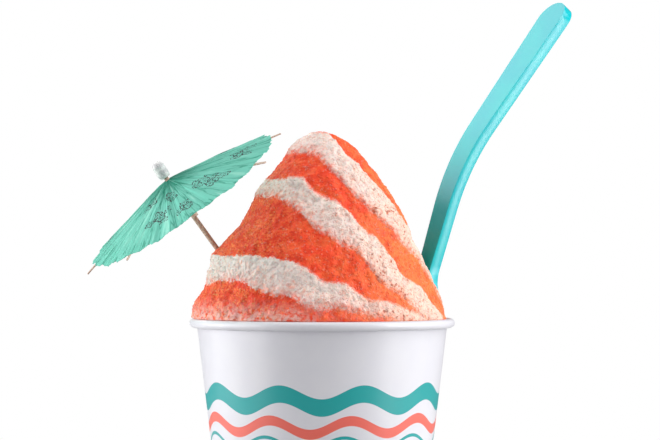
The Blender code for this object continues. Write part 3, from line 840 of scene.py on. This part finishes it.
def makePaperGroup():
    # coated paper board: faint mottling and the fibres under the coating
    tree, start, end = newGroup(
        "paperFibres", (("Place", "Vector"), ("Size", "Float")),
        (("Mottle", "Float"), ("Height", "Float")),
    )
    scaled = node(tree, "ShaderNodeVectorMath", {0: start["Place"]}, operation="SCALE")
    tree.links.new(calc(tree, "DIVIDE", 1, start["Size"]), scaled.inputs["Scale"])
    soft = node(tree, "ShaderNodeTexNoise", {"Vector": scaled.outputs[0], "Scale": 0.12, "Detail": 2})
    stretched = node(tree, "ShaderNodeMapping", {"Vector": scaled.outputs[0], "Scale": (1, 1, 0.4)})
    hair = node(tree, "ShaderNodeTexNoise", {"Vector": stretched.outputs[0], "Scale": 1.6, "Detail": 3})
    tree.links.new(soft.outputs["Fac"], end["Mottle"])
    tree.links.new(hair.outputs["Fac"], end["Height"])
    return tree


paperGroup = makePaperGroup()
waveGroup = makeWaveGroup()


def makeCupMaterial():
    material, tree, shader, place = newMaterial("printedPaperBoard")
    sides = node(tree, "ShaderNodeSeparateXYZ", {0: place}).outputs
    fibres = useGroup(tree, paperGroup, Place=place, Size=cupLook["fibre"])
    x = calc(tree, "SUBTRACT", sides["X"], cupX)
    turn = calc(tree, "ARCTAN2", sides["Y"], x)
    squares = [calc(tree, "MULTIPLY", side, side) for side in (x, sides["Y"])]
    reach = calc(tree, "SQRT", calc(tree, "ADD", *squares))
    leaning = calc(tree, "MULTIPLY", sides["Z"], cupShape["taper"])
    wallReach = calc(tree, "ADD", cupShape["foot"] - 0.3 * mm, leaning)
    outside = calc(tree, "GREATER_THAN", reach, wallReach)    # no ink inside the cup
    mottle = ramp(tree, fibres["Mottle"], 0.3, 0.7)
    colour = blend(tree, mottle, cupLook["paper"], cupLook["paperShade"])
    for ink, middle, width, swing, waves, phase in cupLook["stripes"]:
        stripe = useGroup(
            tree, waveGroup, Turn=turn, Height=sides["Z"], Middle=middle * mm, Width=width * mm,
            Swing=swing * mm, Waves=waves, Phase=phase,
        )["Mask"]
        inked = calc(tree, "MULTIPLY", stripe, outside)
        colour = blend(tree, inked, colour, cupLook["inks"][ink])
    tree.links.new(colour, shader.inputs["Base Color"])
    rough = ramp(tree, fibres["Mottle"], 0.2, 0.8, *cupLook["roughness"])
    tree.links.new(rough, shader.inputs["Roughness"])
    tree.links.new(relief(tree, fibres["Height"], 0.01 * mm, 0.15), shader.inputs["Normal"])
    return material


cup = makeCup()
cupMaterial = makeCupMaterial()
finishPiece(cup, cupMaterial, "cup_board", "cup_wall")
print("cup made")

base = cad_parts["cup_base"]
base.data.materials.clear()
base.data.materials.append(cupMaterial)


# The spoon

spoonShape = {
    "neck": Vector((38.2, 7.6, 131.5)) * mm,    # from the cup's axis at the floor
    "faceTurn": math.radians(60),
    "lean": math.radians(10),
    "angles": (math.radians(6.6), math.radians(27.3)),
    "straights": (23 * mm, 58 * mm),
    "arc": 35 * mm,
    "widths": (8.6 * mm, 15.4 * mm),
    "thickness": 4.2 * mm,
    "skin": 1.3 * mm,
    "groove": (7 * mm, 2.2 * mm, 3 * mm, 0.7),  # start, end, ramp, share of the width
    "grooveEdge": (0.03, 0.05),                 # inside and outside that share
    "bowlAngle": math.radians(-7),
    "bowl": (46 * mm, 26 * mm, 5.5 * mm, 1.3 * mm),   # length, width, depth, skin
    "bowlRamp": 0.35,
    "widest": 0.52,
    "neckLength": 7 * mm,
    "keelLength": 19 * mm,
    "leastHalf": 0.6 * mm,                      # half the width at either end
    # places across the width, close together at the groove's edges
    "shares": (-1, -0.92, -0.8, -0.74, -0.68, -0.5, -0.25, 0, 0.25, 0.5, 0.68, 0.74, 0.8, 0.92, 1),
    "bevel": 0.55 * mm,
}


def spoonSlope(at):
    low, high = spoonShape["angles"]
    if at < 0:
        return low + (spoonShape["bowlAngle"] - low) * smoothStep(0, -spoonShape["neckLength"], at)
    share = min(1, max(0, (at - spoonShape["straights"][0]) / spoonShape["arc"]))
    return low + (high - low) * share


def spoonPlace(at):
    place = Vector((0, 0))
    steps = 60
    for number in range(steps):
        angle = spoonSlope(at / steps * (number + 0.5))
        place += at / steps * Vector((math.sin(angle), math.cos(angle)))
    return place


def spoonHalf(at, length):
    narrow, wide = (width / 2 for width in spoonShape["widths"])
    bowlLength, bowlWidth = spoonShape["bowl"][:2]
    widest = spoonShape["widest"]
    if at < -bowlLength * widest:
        run = (-at / bowlLength - widest) / (1 - widest)
        return max(spoonShape["leastHalf"], bowlWidth / 2 * math.sqrt(max(0, 1 - run**2)))
    if at < 0:
        return narrow + (bowlWidth / 2 - narrow) * smoothStep(0, widest, -at / bowlLength)
    plain = narrow + (wide - narrow) * at / length
    rounding = 1 - min(1, (length - at) / wide)
    return max(spoonShape["leastHalf"], plain * math.sqrt(1 - rounding**2))


def spoonRing(at, length, frameOfSpoon):
    shape = spoonShape
    bowlLength, _, bowlDepth, bowlSkin = shape["bowl"]
    half = spoonHalf(at, length)
    filled = smoothStep(0, -bowlLength * shape["bowlRamp"], at)
    rounded = math.sqrt(smoothStep(-bowlLength, -bowlLength * (1 - shape["bowlRamp"]), at))
    depth = bowlDepth * filled * rounded
    keel = smoothStep(0, -shape["keelLength"], at)
    thickness = shape["thickness"] + (bowlSkin - shape["thickness"]) * keel
    start, end, slopeLength, grooveShare = shape["groove"]
    before, after = shape["grooveEdge"]
    inGroove = smoothStep(start, start + slopeLength, at)
    inGroove *= smoothStep(end, end + slopeLength, length - at)
    groove = (shape["thickness"] - shape["skin"]) * inGroove
    angle = spoonSlope(at)
    centre = spoonPlace(at)
    back = Vector((math.cos(angle), -math.sin(angle)))
    face, rear = [], []
    for share in shape["shares"]:
        sag = depth * (1 - share**2)
        hollow = groove * (1 - smoothStep(grooveShare - before, grooveShare + after, abs(share)))
        near = centre + back * sag
        far = centre + back * (sag + thickness - hollow)
        face.append(frameOfSpoon @ Vector((half * share, *near)))
        rear.append(frameOfSpoon @ Vector((half * share, *far)))
    return face + rear[::-1]


def makeSpoon():
    shape = spoonShape
    low, high = shape["straights"]
    length = low + shape["arc"] + high
    bowlLength, tip = shape["bowl"][0], shape["widths"][1] / 2
    # from the bowl's end to the handle's, closer together where the outline turns
    spots = {-bowlLength * (1 + math.cos(math.pi * step / 30)) / 2 for step in range(31)}
    spots |= {low * (step / 12) ** 1.5 for step in range(13)}
    spots |= {low + shape["arc"] * step / 18 for step in range(19)}
    spots |= {low + shape["arc"] + (high - tip) * step / 14 for step in range(15)}
    spots |= {length - tip * (1 - math.sin(math.pi / 2 * step / 14)) for step in range(15)}
    stations = []
    for at in sorted(spots):
        if not stations or at - stations[-1] > 0.05 * mm:
            stations.append(at)
    turn, lean = shape["faceTurn"], shape["lean"]
    width = Vector(
        (math.cos(turn) * math.cos(lean), -math.sin(turn), -math.cos(turn) * math.sin(lean))
    )
    along = Vector((math.sin(lean), 0, math.cos(lean)))
    axes = Matrix((width, along.cross(width), along)).transposed().to_4x4()
    placed = Matrix.Translation(shape["neck"] + Vector((cupX, 0, 0))) @ axes
    obj = extrudeThrough("spoonBody", [spoonRing(at, length, placed) for at in stations])
    applyModifier(
        obj, "BEVEL", width=shape["bevel"], segments=3, limit_method="ANGLE",
        angle_limit=math.radians(50), use_clamp_overlap=True,
    )
    bpy.ops.object.shade_smooth_by_angle(angle=math.radians(40))
    print("spoon made,", len(obj.data.polygons), "faces")
    return obj


spoonLook = {
    "plastic": tone(0, 188, 192),
    "deep": tone(0, 180, 190),
    "flow": 14 * mm,     # size of the plastic's cloudy patches
    "skin": 1.5 * mm,    # size of the smoother and rougher spots
    "roughness": (0.2, 0.24),
    "specular": 0.38,
}


def makeSpoonMaterial():
    material, tree, shader, place = newMaterial("tealPlastic")
    flow = speckle(tree, place, spoonLook["flow"], 2)
    skin = speckle(tree, place, spoonLook["skin"], 1)
    colour = blend(tree, ramp(tree, flow, 0.3, 0.7), spoonLook["plastic"], spoonLook["deep"])
    tree.links.new(colour, shader.inputs["Base Color"])
    rough = ramp(tree, skin, 0.3, 0.7, *spoonLook["roughness"])
    tree.links.new(rough, shader.inputs["Roughness"])
    shader.inputs["Specular IOR Level"].default_value = spoonLook["specular"]
    return material


spoon = makeSpoon()
spoonMaterial = makeSpoonMaterial()
finishPiece(spoon, spoonMaterial, "spoon_plastic", "spoon")


# The parasol, on its own axis: z = 0 where the paper meets the stick

parasolShape = {
    "top": Vector((-56.8, -8.5, 163.1)) * mm,   # from the cup's axis at the floor
    "sideTilt": math.radians(-35.4),
    "frontTilt": math.radians(12.3),
    "ribs": 8,
    "ribTurn": math.radians(4),
    "ribReach": 43.9 * mm,
    "shortRibs": {6: 41.3 * mm, 7: 40.3 * mm},
    "ribStart": 2.8 * mm,
    "ribWidth": 1.3 * mm,
    "ribThickness": 0.55 * mm,
    "paperReach": 39.6 * mm,
    "paperThickness": 0.18 * mm,
    "paperHole": 1.5 * mm,
    "drop": 10.5 * mm,
    "pleatsPerRib": 3,
    "pleatDepth": 0.45 * mm,
    "sag": 0.7 * mm,
    "ragged": 0.012,     # share of the reach that its edge wanders
    "raggedWaves": 5,
    "crease": 0.7 * mm,
    "creases": ((5, 0.6), (13, 0.4), (27, 0.22)),   # how closely they follow each other, and size
    "flatSpan": 2.2,     # side of its UV square, in paper reaches
    "tear": 1.15 * mm,
    "tears": 30,         # how closely the small tears in the edge follow each other
    "sides": 432,
    "rings": 34,
    "gap": 0.3 * mm,
    "stick": (0.9 * mm, 0.7 * mm, 88 * mm, 4 * mm),   # radius, top, length, point
    "cap": (2.25 * mm, 6.7 * mm, 2.0 * mm, 1.2 * mm),  # radius, length, foot radius, flare
    "runner": (2.3 * mm, -12.9 * mm, -6.7 * mm),
    "stretcher": (20 * mm, 1.2 * mm, 0.45 * mm, 1.2 * mm),   # reach, width, thickness, dip
}

parasolPlace = (
    Matrix.Translation(parasolShape["top"] + Vector((cupX, 0, 0)))
    @ Matrix.Rotation(parasolShape["sideTilt"], 4, "Y")
    @ Matrix.Rotation(parasolShape["frontTilt"], 4, "X")
)


def dropAt(reach):
    return parasolShape["drop"] * reach / parasolShape["ribReach"]


def paperPoint(reach, angle):
    shape = parasolShape
    share = reach / shape["paperReach"]
    between = math.cos(shape["ribs"] * (angle - shape["ribTurn"])) * 0.5 + 0.5
    pleat = math.cos(shape["ribs"] * shape["pleatsPerRib"] * (angle - shape["ribTurn"]))
    sag = shape["sag"] * (1 - between) * share**2
    sag -= shape["pleatDepth"] * (pleat - 1) / 2 * share
    way = Vector((math.cos(angle), math.sin(angle), 0))
    fold = 0
    for count, size in shape["creases"]:
        edge = noise.noise(way * count + Vector((0, 0, share * 1.3 + count)))
        fold += size * (abs(edge) * 2 - 0.6)
    sag += shape["crease"] * fold * (1 - between**6) * smoothStep(0, 0.25, share)
    ragged = 1 + shape["ragged"] * math.sin(shape["raggedWaves"] * angle) * share
    torn = noise.noise(way * shape["tears"] + Vector((3, 0, 0)))
    tear = shape["tear"] * (abs(torn) * 2 - 0.4) * share**12
    wide = reach * ragged + tear
    return Vector((wide * math.cos(angle), wide * math.sin(angle), -dropAt(reach) - sag))


def makePaper():
    shape = parasolShape
    count, rows = shape["sides"], shape["rings"]
    rings = []
    for row in range(rows + 1):
        share = row / rows
        reach = shape["paperHole"] + (shape["paperReach"] - shape["paperHole"]) * share
        rings.append(
            [
                parasolPlace @ paperPoint(reach, shape["ribTurn"] + math.tau * step / count)
                for step in range(count)
            ]
        )
    obj = extrudeThrough("parasolPaper", rings, capFirst=False, capLast=False)

    # its own UV map: the paper laid flat, with the stick in the middle of the square
    back = parasolPlace.inverted()
    layer = obj.data.uv_layers.new(name="flatPaper")
    for loop in obj.data.loops:
        point = back @ obj.data.vertices[loop.vertex_index].co
        layer.data[loop.index].uv = (
            0.5 + point.x / shape["paperReach"] / shape["flatSpan"],
            0.5 + point.y / shape["paperReach"] / shape["flatSpan"],
        )
    upwards = back.to_3x3().transposed() @ Vector((0, 0, 1))
    above = obj.data.polygons[0].normal.dot(upwards)
    applyModifier(
        obj, "SOLIDIFY", thickness=shape["paperThickness"], offset=1 if above > 0 else -1,
    )
    bpy.ops.object.shade_smooth_by_angle(angle=math.radians(50))
    print("parasol paper made,", len(obj.data.polygons), "faces")
    return obj


def makeStrip(name, inner, outer, heightAt, width, thickness, steps, taper):
    rings = []
    for step in range(steps + 1):
        reach = inner + (outer - inner) * step / steps
        end = min(step, steps - step) / steps
        narrow = width * (1 - taper * (1 - smoothStep(0, 0.12, end)))
        rings.append(
            [
                Vector((reach, across * narrow / 2, heightAt(reach) + up * thickness / 2))
                for across, up in ((-1, -1), (1, -1), (1, 1), (-1, 1))
            ]
        )
    obj = extrudeThrough(name, rings)
    applyModifier(
        obj, "BEVEL", width=thickness * 0.3, segments=2, limit_method="ANGLE",
        angle_limit=math.radians(50),
    )
    return obj


def ribHeight(reach):
    return -dropAt(reach) - parasolShape["ribThickness"] / 2 - parasolShape["gap"]


def spreadRound(first, label, others=None):
    # the first strip is copied once for every rib, and each copy is turned into its place
    shape = parasolShape
    made = []
    for number in range(shape["ribs"]):
        pickOnly((others or {}).get(number + 1, first))
        bpy.ops.object.duplicate()
        copied = bpy.context.object
        copied.name = label + str(number + 1)
        turn = Matrix.Rotation(shape["ribTurn"] + math.tau * number / shape["ribs"], 4, "Z")
        copied.matrix_world = parasolPlace @ turn
        bpy.ops.object.transform_apply(location=True, rotation=True, scale=True)
        bpy.ops.object.shade_smooth_by_angle(angle=math.radians(35))
        made.append(copied)
    for used in [first, *(others or {}).values()]:
        bpy.data.objects.remove(used)
    return made


def makeRibs():
    shape = parasolShape
    reaches = {0: shape["ribReach"], **shape["shortRibs"]}
    strips = {
        number: makeStrip(
            "ribFirst", shape["ribStart"], reach, ribHeight,
            shape["ribWidth"], shape["ribThickness"], 24, 0.35,
        )
        for number, reach in reaches.items()
    }
    return spreadRound(strips.pop(0), "parasolRib", strips)


def makeStretchers():
    shape = parasolShape
    outer, width, thickness, dip = shape["stretcher"]
    inner = shape["runner"][0] + shape["gap"]
    low = shape["runner"][2] - dip
    high = ribHeight(outer) - shape["ribThickness"] / 2 - thickness - shape["gap"]

    def heightAt(reach):
        return low + (high - low) * (reach - inner) / (outer - inner)

    first = makeStrip("stretcherFirst", inner, outer, heightAt, width, thickness, 10, 0.2)
    return spreadRound(first, "parasolStretcher")


def turnedPiece(name, profile, sides, closedLoop=False):
    # rings round the parasol's axis, from (radius, height) pairs
    rings = [
        [
            parasolPlace @ Vector((radius * math.cos(math.tau * step / sides),
                                   radius * math.sin(math.tau * step / sides), height))
            for step in range(sides)
        ]
        for radius, height in profile
    ]
    obj = extrudeThrough(name, rings, capFirst=not closedLoop, capLast=not closedLoop)
    bpy.ops.object.shade_smooth_by_angle(angle=math.radians(40))
    return obj


def makeStick():
    radius, top, length, point = parasolShape["stick"]
    profile = [(radius - 0.15 * mm, top), (radius, top - 0.15 * mm)]
    profile += [(radius, top - (length - point + top) * step / 20) for step in range(1, 21)]
    profile += [(radius * 0.62, -length + point * 0.45), (0.15 * mm, -length)]
    return turnedPiece("parasolStick", profile, 24)


def makeCap():
    radius, length, footRadius, flare = parasolShape["cap"]
    low = parasolShape["stick"][1] + parasolShape["gap"]
    profile = [(footRadius - 0.2 * mm, low), (footRadius, low + 0.15 * mm)]
    for step in range(1, 6):
        wide = footRadius + (radius - footRadius) * smoothStep(0, 1, step / 5)
        profile.append((wide, low + 0.2 * mm + (flare - 0.2 * mm) * step / 5))
    for step in range(13):
        angle = math.pi / 2 * step / 12
        wide = max(0.04 * mm, radius * math.cos(angle))
        profile.append((wide, low + length - radius * (1 - math.sin(angle))))
    return turnedPiece("parasolCap", profile, 32)


def makeRunner():
    radius, low, high = parasolShape["runner"]
    inner = parasolShape["stick"][0] + parasolShape["gap"]
    profile = [(inner, low), (radius - 0.2 * mm, low), (radius, low + 0.2 * mm)]
    profile += [(radius, low + (high - low) * step / 6) for step in range(1, 6)]
    profile += [(radius, high - 0.2 * mm), (radius - 0.2 * mm, high), (inner, high), (inner, low)]
    return turnedPiece("parasolRunner", profile, 32, closedLoop=True)


parasolLook = {
    "mint": tone(106, 192, 174),
    "pale": tone(118, 198, 182),
    "deep": tone(12, 136, 112),
    # painted highlight for the light streaks along the creases
    "highlight": tone(176, 226, 212),
    "ink": tone(50, 62, 62),
    "wood": tone(214, 188, 170),
    "woodDark": tone(168, 136, 118),
    "bead": tone(236, 236, 234),
    "beadDark": tone(198, 198, 200),
    "card": tone(222, 216, 205),
    "cardShade": tone(206, 198, 184),
    "through": 0.3,      # light that passes through the paper
    "darkRun": (2 * mm, 18 * mm),   # the paper is darker round the stick, out to here
    "streaks": 5,        # creases, higher for more of them
    "streakLength": 60 * mm,
    "blossom": 2.3 * mm,
    "blossomSpacing": 3.5 * mm,
    "inkLine": 0.68 * mm,
    # printed clusters of blossoms on the flat paper: across, up, radius
    "clusters": (
        (-9.4, -24.0, 4.8), (-2.4, -15.4, 3.4), (0.6, -28.8, 3.2), (10.0, -18.0, 3.0),
        (15.6, -22.4, 4.6), (26.6, -6.6, 4.4), (31.5, -2.2, 2.8), (-11.6, -8.8, 3.2),
        (-27.0, 13.0, 3.8), (-9.0, 27.0, 4.4), (7.0, 19.0, 3.0), (15.0, 29.0, 3.6), (24.0, 14.0, 4.2),
    ),
}


def blossomInk(tree, flat):
    # five-petalled blossoms drawn in thin lines, one in each cell, kept only inside the clusters
    size, line = parasolLook["blossom"], parasolLook["inkLine"]
    settings = {"Vector": flat, "Scale": 1 / parasolLook["blossomSpacing"], "Randomness": 0.7}
    cells = node(tree, "ShaderNodeTexVoronoi", settings, voronoi_dimensions="2D").outputs
    local = node(
        tree, "ShaderNodeVectorMath", {0: flat, 1: cells["Position"]}, operation="SUBTRACT"
    ).outputs[0]
    sides = node(tree, "ShaderNodeSeparateXYZ", {0: local}).outputs
    away = node(tree, "ShaderNodeVectorMath", {0: local}, operation="LENGTH").outputs["Value"]
    spin = calc(tree, "MULTIPLY", cells["Color"], math.tau)
    turn = calc(tree, "ADD", calc(tree, "ARCTAN2", sides["Y"], sides["X"]), spin)
    wave = calc(tree, "MULTIPLY", turn, 2.5)
    lobe = calc(tree, "ABSOLUTE", calc(tree, "COSINE", wave))
    petal = calc(tree, "MULTIPLY_ADD", lobe, 0.45 * size, 0.55 * size)
    gap = calc(tree, "ABSOLUTE", calc(tree, "SUBTRACT", away, petal))
    outline = ramp(tree, gap, line * 0.3, line * 0.7, 1, 0)
    spoke = calc(tree, "MULTIPLY", calc(tree, "ABSOLUTE", calc(tree, "SINE", wave)), away)
    stamens = ramp(tree, spoke, line * 0.2, line * 0.5, 0.8, 0)
    stamens = calc(tree, "MULTIPLY", stamens, ramp(tree, away, size * 0.5, size * 0.6, 1, 0))
    ink = calc(tree, "MAXIMUM", outline, stamens)
    inside = None
    for across, up, radius in parasolLook["clusters"]:
        gap = node(tree, "ShaderNodeVectorMath", {
            0: cells["Position"], 1: (across * mm, up * mm, 0)}, operation="DISTANCE").outputs["Value"]
        near = calc(tree, "LESS_THAN", gap, radius * mm)
        inside = near if inside is None else calc(tree, "MAXIMUM", inside, near)
    return calc(tree, "MULTIPLY", ink, inside)


def makePaperMaterial():
    material, tree, shader, place = newMaterial("mintTissuePaper")
    laid = node(tree, "ShaderNodeUVMap", uv_map="flatPaper").outputs[0]
    centred = node(
        tree, "ShaderNodeVectorMath", {0: laid, 1: (0.5, 0.5, 0)}, operation="SUBTRACT"
    ).outputs[0]
    flat = node(tree, "ShaderNodeVectorMath", {
        0: centred, "Scale": parasolShape["flatSpan"] * parasolShape["paperReach"]},
        operation="SCALE").outputs[0]
    reach = node(tree, "ShaderNodeVectorMath", {0: flat}, operation="LENGTH").outputs["Value"]
    way = node(tree, "ShaderNodeVectorMath", {0: flat}, operation="NORMALIZE").outputs[0]
    # creases run out from the stick, so the noise is stretched along the reach
    around = node(tree, "ShaderNodeVectorMath", {
        0: way, "Scale": parasolLook["streaks"]}, operation="SCALE").outputs[0]
    sides = node(tree, "ShaderNodeSeparateXYZ", {0: around}).outputs
    out = calc(tree, "DIVIDE", reach, parasolLook["streakLength"])
    bent = node(tree, "ShaderNodeCombineXYZ", {0: sides["X"], 1: sides["Y"], 2: out}).outputs[0]
    streaks = node(tree, "ShaderNodeTexNoise", {"Vector": bent, "Scale": 2.2, "Detail": 3})
    streak = streaks.outputs["Fac"]
    ridge = calc(tree, "ABSOLUTE", calc(tree, "SUBTRACT", streak, 0.5))
    # painted shade along the creases' ridges
    creaseShade = ramp(tree, ridge, 0.0, 0.035, 1, 0)
    # painted highlight on the light streaks
    light = ramp(tree, streak, 0.6, 0.68)
    fibres = useGroup(tree, paperGroup, Place=place, Size=0.8 * mm)
    soft = ramp(tree, fibres["Mottle"], 0.2, 0.8)
    colour = blend(tree, soft, parasolLook["mint"], parasolLook["pale"])
    start, end = parasolLook["darkRun"]
    # darker round the stick, with the creases' painted shade added
    deepened = calc(tree, "ADD", ramp(tree, reach, start, end, 0.85, 0), calc(tree, "MULTIPLY", creaseShade, 0.7))
    colour = blend(tree, deepened, colour, parasolLook["deep"])
    colour = blend(tree, calc(tree, "MULTIPLY", light, 0.4), colour, parasolLook["highlight"])
    colour = blend(tree, blossomInk(tree, flat), colour, parasolLook["ink"])
    tree.links.new(colour, shader.inputs["Base Color"])
    shader.inputs["Roughness"].default_value = 0.75
    folded = relief(tree, ramp(tree, ridge, 0, 0.06), 0.25 * mm, 0.5)
    tree.links.new(relief(tree, fibres["Height"], 0.03 * mm, 0.4, folded), shader.inputs["Normal"])
    glow = node(tree, "ShaderNodeBsdfTranslucent", {"Color": colour})
    both = node(tree, "ShaderNodeMixShader", {0: parasolLook["through"]})
    tree.links.new(shader.outputs[0], both.inputs[1])
    tree.links.new(glow.outputs[0], both.inputs[2])
    tree.links.new(both.outputs[0], tree.nodes["Material Output"].inputs["Surface"])
    return material


def makeWoodMaterial():
    material, tree, shader, place = newMaterial("paleWood")
    grain = node(tree, "ShaderNodeMapping", {"Vector": place, "Scale": (1, 1, 0.16)})
    streak = speckle(tree, grain.outputs[0], 0.4 * mm, 3)
    colour = blend(tree, ramp(tree, streak, 0.35, 0.65), parasolLook["wood"], parasolLook["woodDark"])
    tree.links.new(colour, shader.inputs["Base Color"])
    shader.inputs["Roughness"].default_value = 0.6
    tree.links.new(relief(tree, streak, 0.05 * mm, 0.6), shader.inputs["Normal"])
    return material


def makeBeadMaterial():
    material, tree, shader, place = newMaterial("whiteBead")
    cloud = speckle(tree, place, 2.2 * mm, 1)
    colour = blend(tree, ramp(tree, cloud, 0.3, 0.7), parasolLook["bead"], parasolLook["beadDark"])
    tree.links.new(colour, shader.inputs["Base Color"])
    tree.links.new(ramp(tree, cloud, 0.3, 0.7, 0.3, 0.5), shader.inputs["Roughness"])
    return material


def makeCardMaterial():
    material, tree, shader, place = newMaterial("rolledCard")
    fibres = useGroup(tree, paperGroup, Place=place, Size=0.6 * mm)
    mottle = ramp(tree, fibres["Mottle"], 0.3, 0.7)
    colour = blend(tree, mottle, parasolLook["card"], parasolLook["cardShade"])
    tree.links.new(colour, shader.inputs["Base Color"])
    shader.inputs["Roughness"].default_value = 0.75
    tree.links.new(relief(tree, fibres["Height"], 0.05 * mm, 0.6), shader.inputs["Normal"])
    return material


paperMaterial = makePaperMaterial()
woodMaterial = makeWoodMaterial()
paper = makePaper()
paper.visible_shadow = False    # tissue this thin lets the light through
finishPiece(paper, paperMaterial, "parasol_paper", "parasol_paper")
finishPiece(makeStick(), woodMaterial, "parasol_wood", "parasol_stick")
finishPiece(makeCap(), makeBeadMaterial(), "parasol_cap", "parasol_cap")
finishPiece(makeRunner(), makeCardMaterial(), "runner_card", "parasol_runner")
for number, rib in enumerate(makeRibs(), 1):
    finishPiece(rib, woodMaterial, "parasol_wood", "parasol_rib_" + str(number))
for number, stretcher in enumerate(makeStretchers(), 1):
    finishPiece(stretcher, woodMaterial, "parasol_wood", "parasol_stretcher_" + str(number))
print("parasol made")
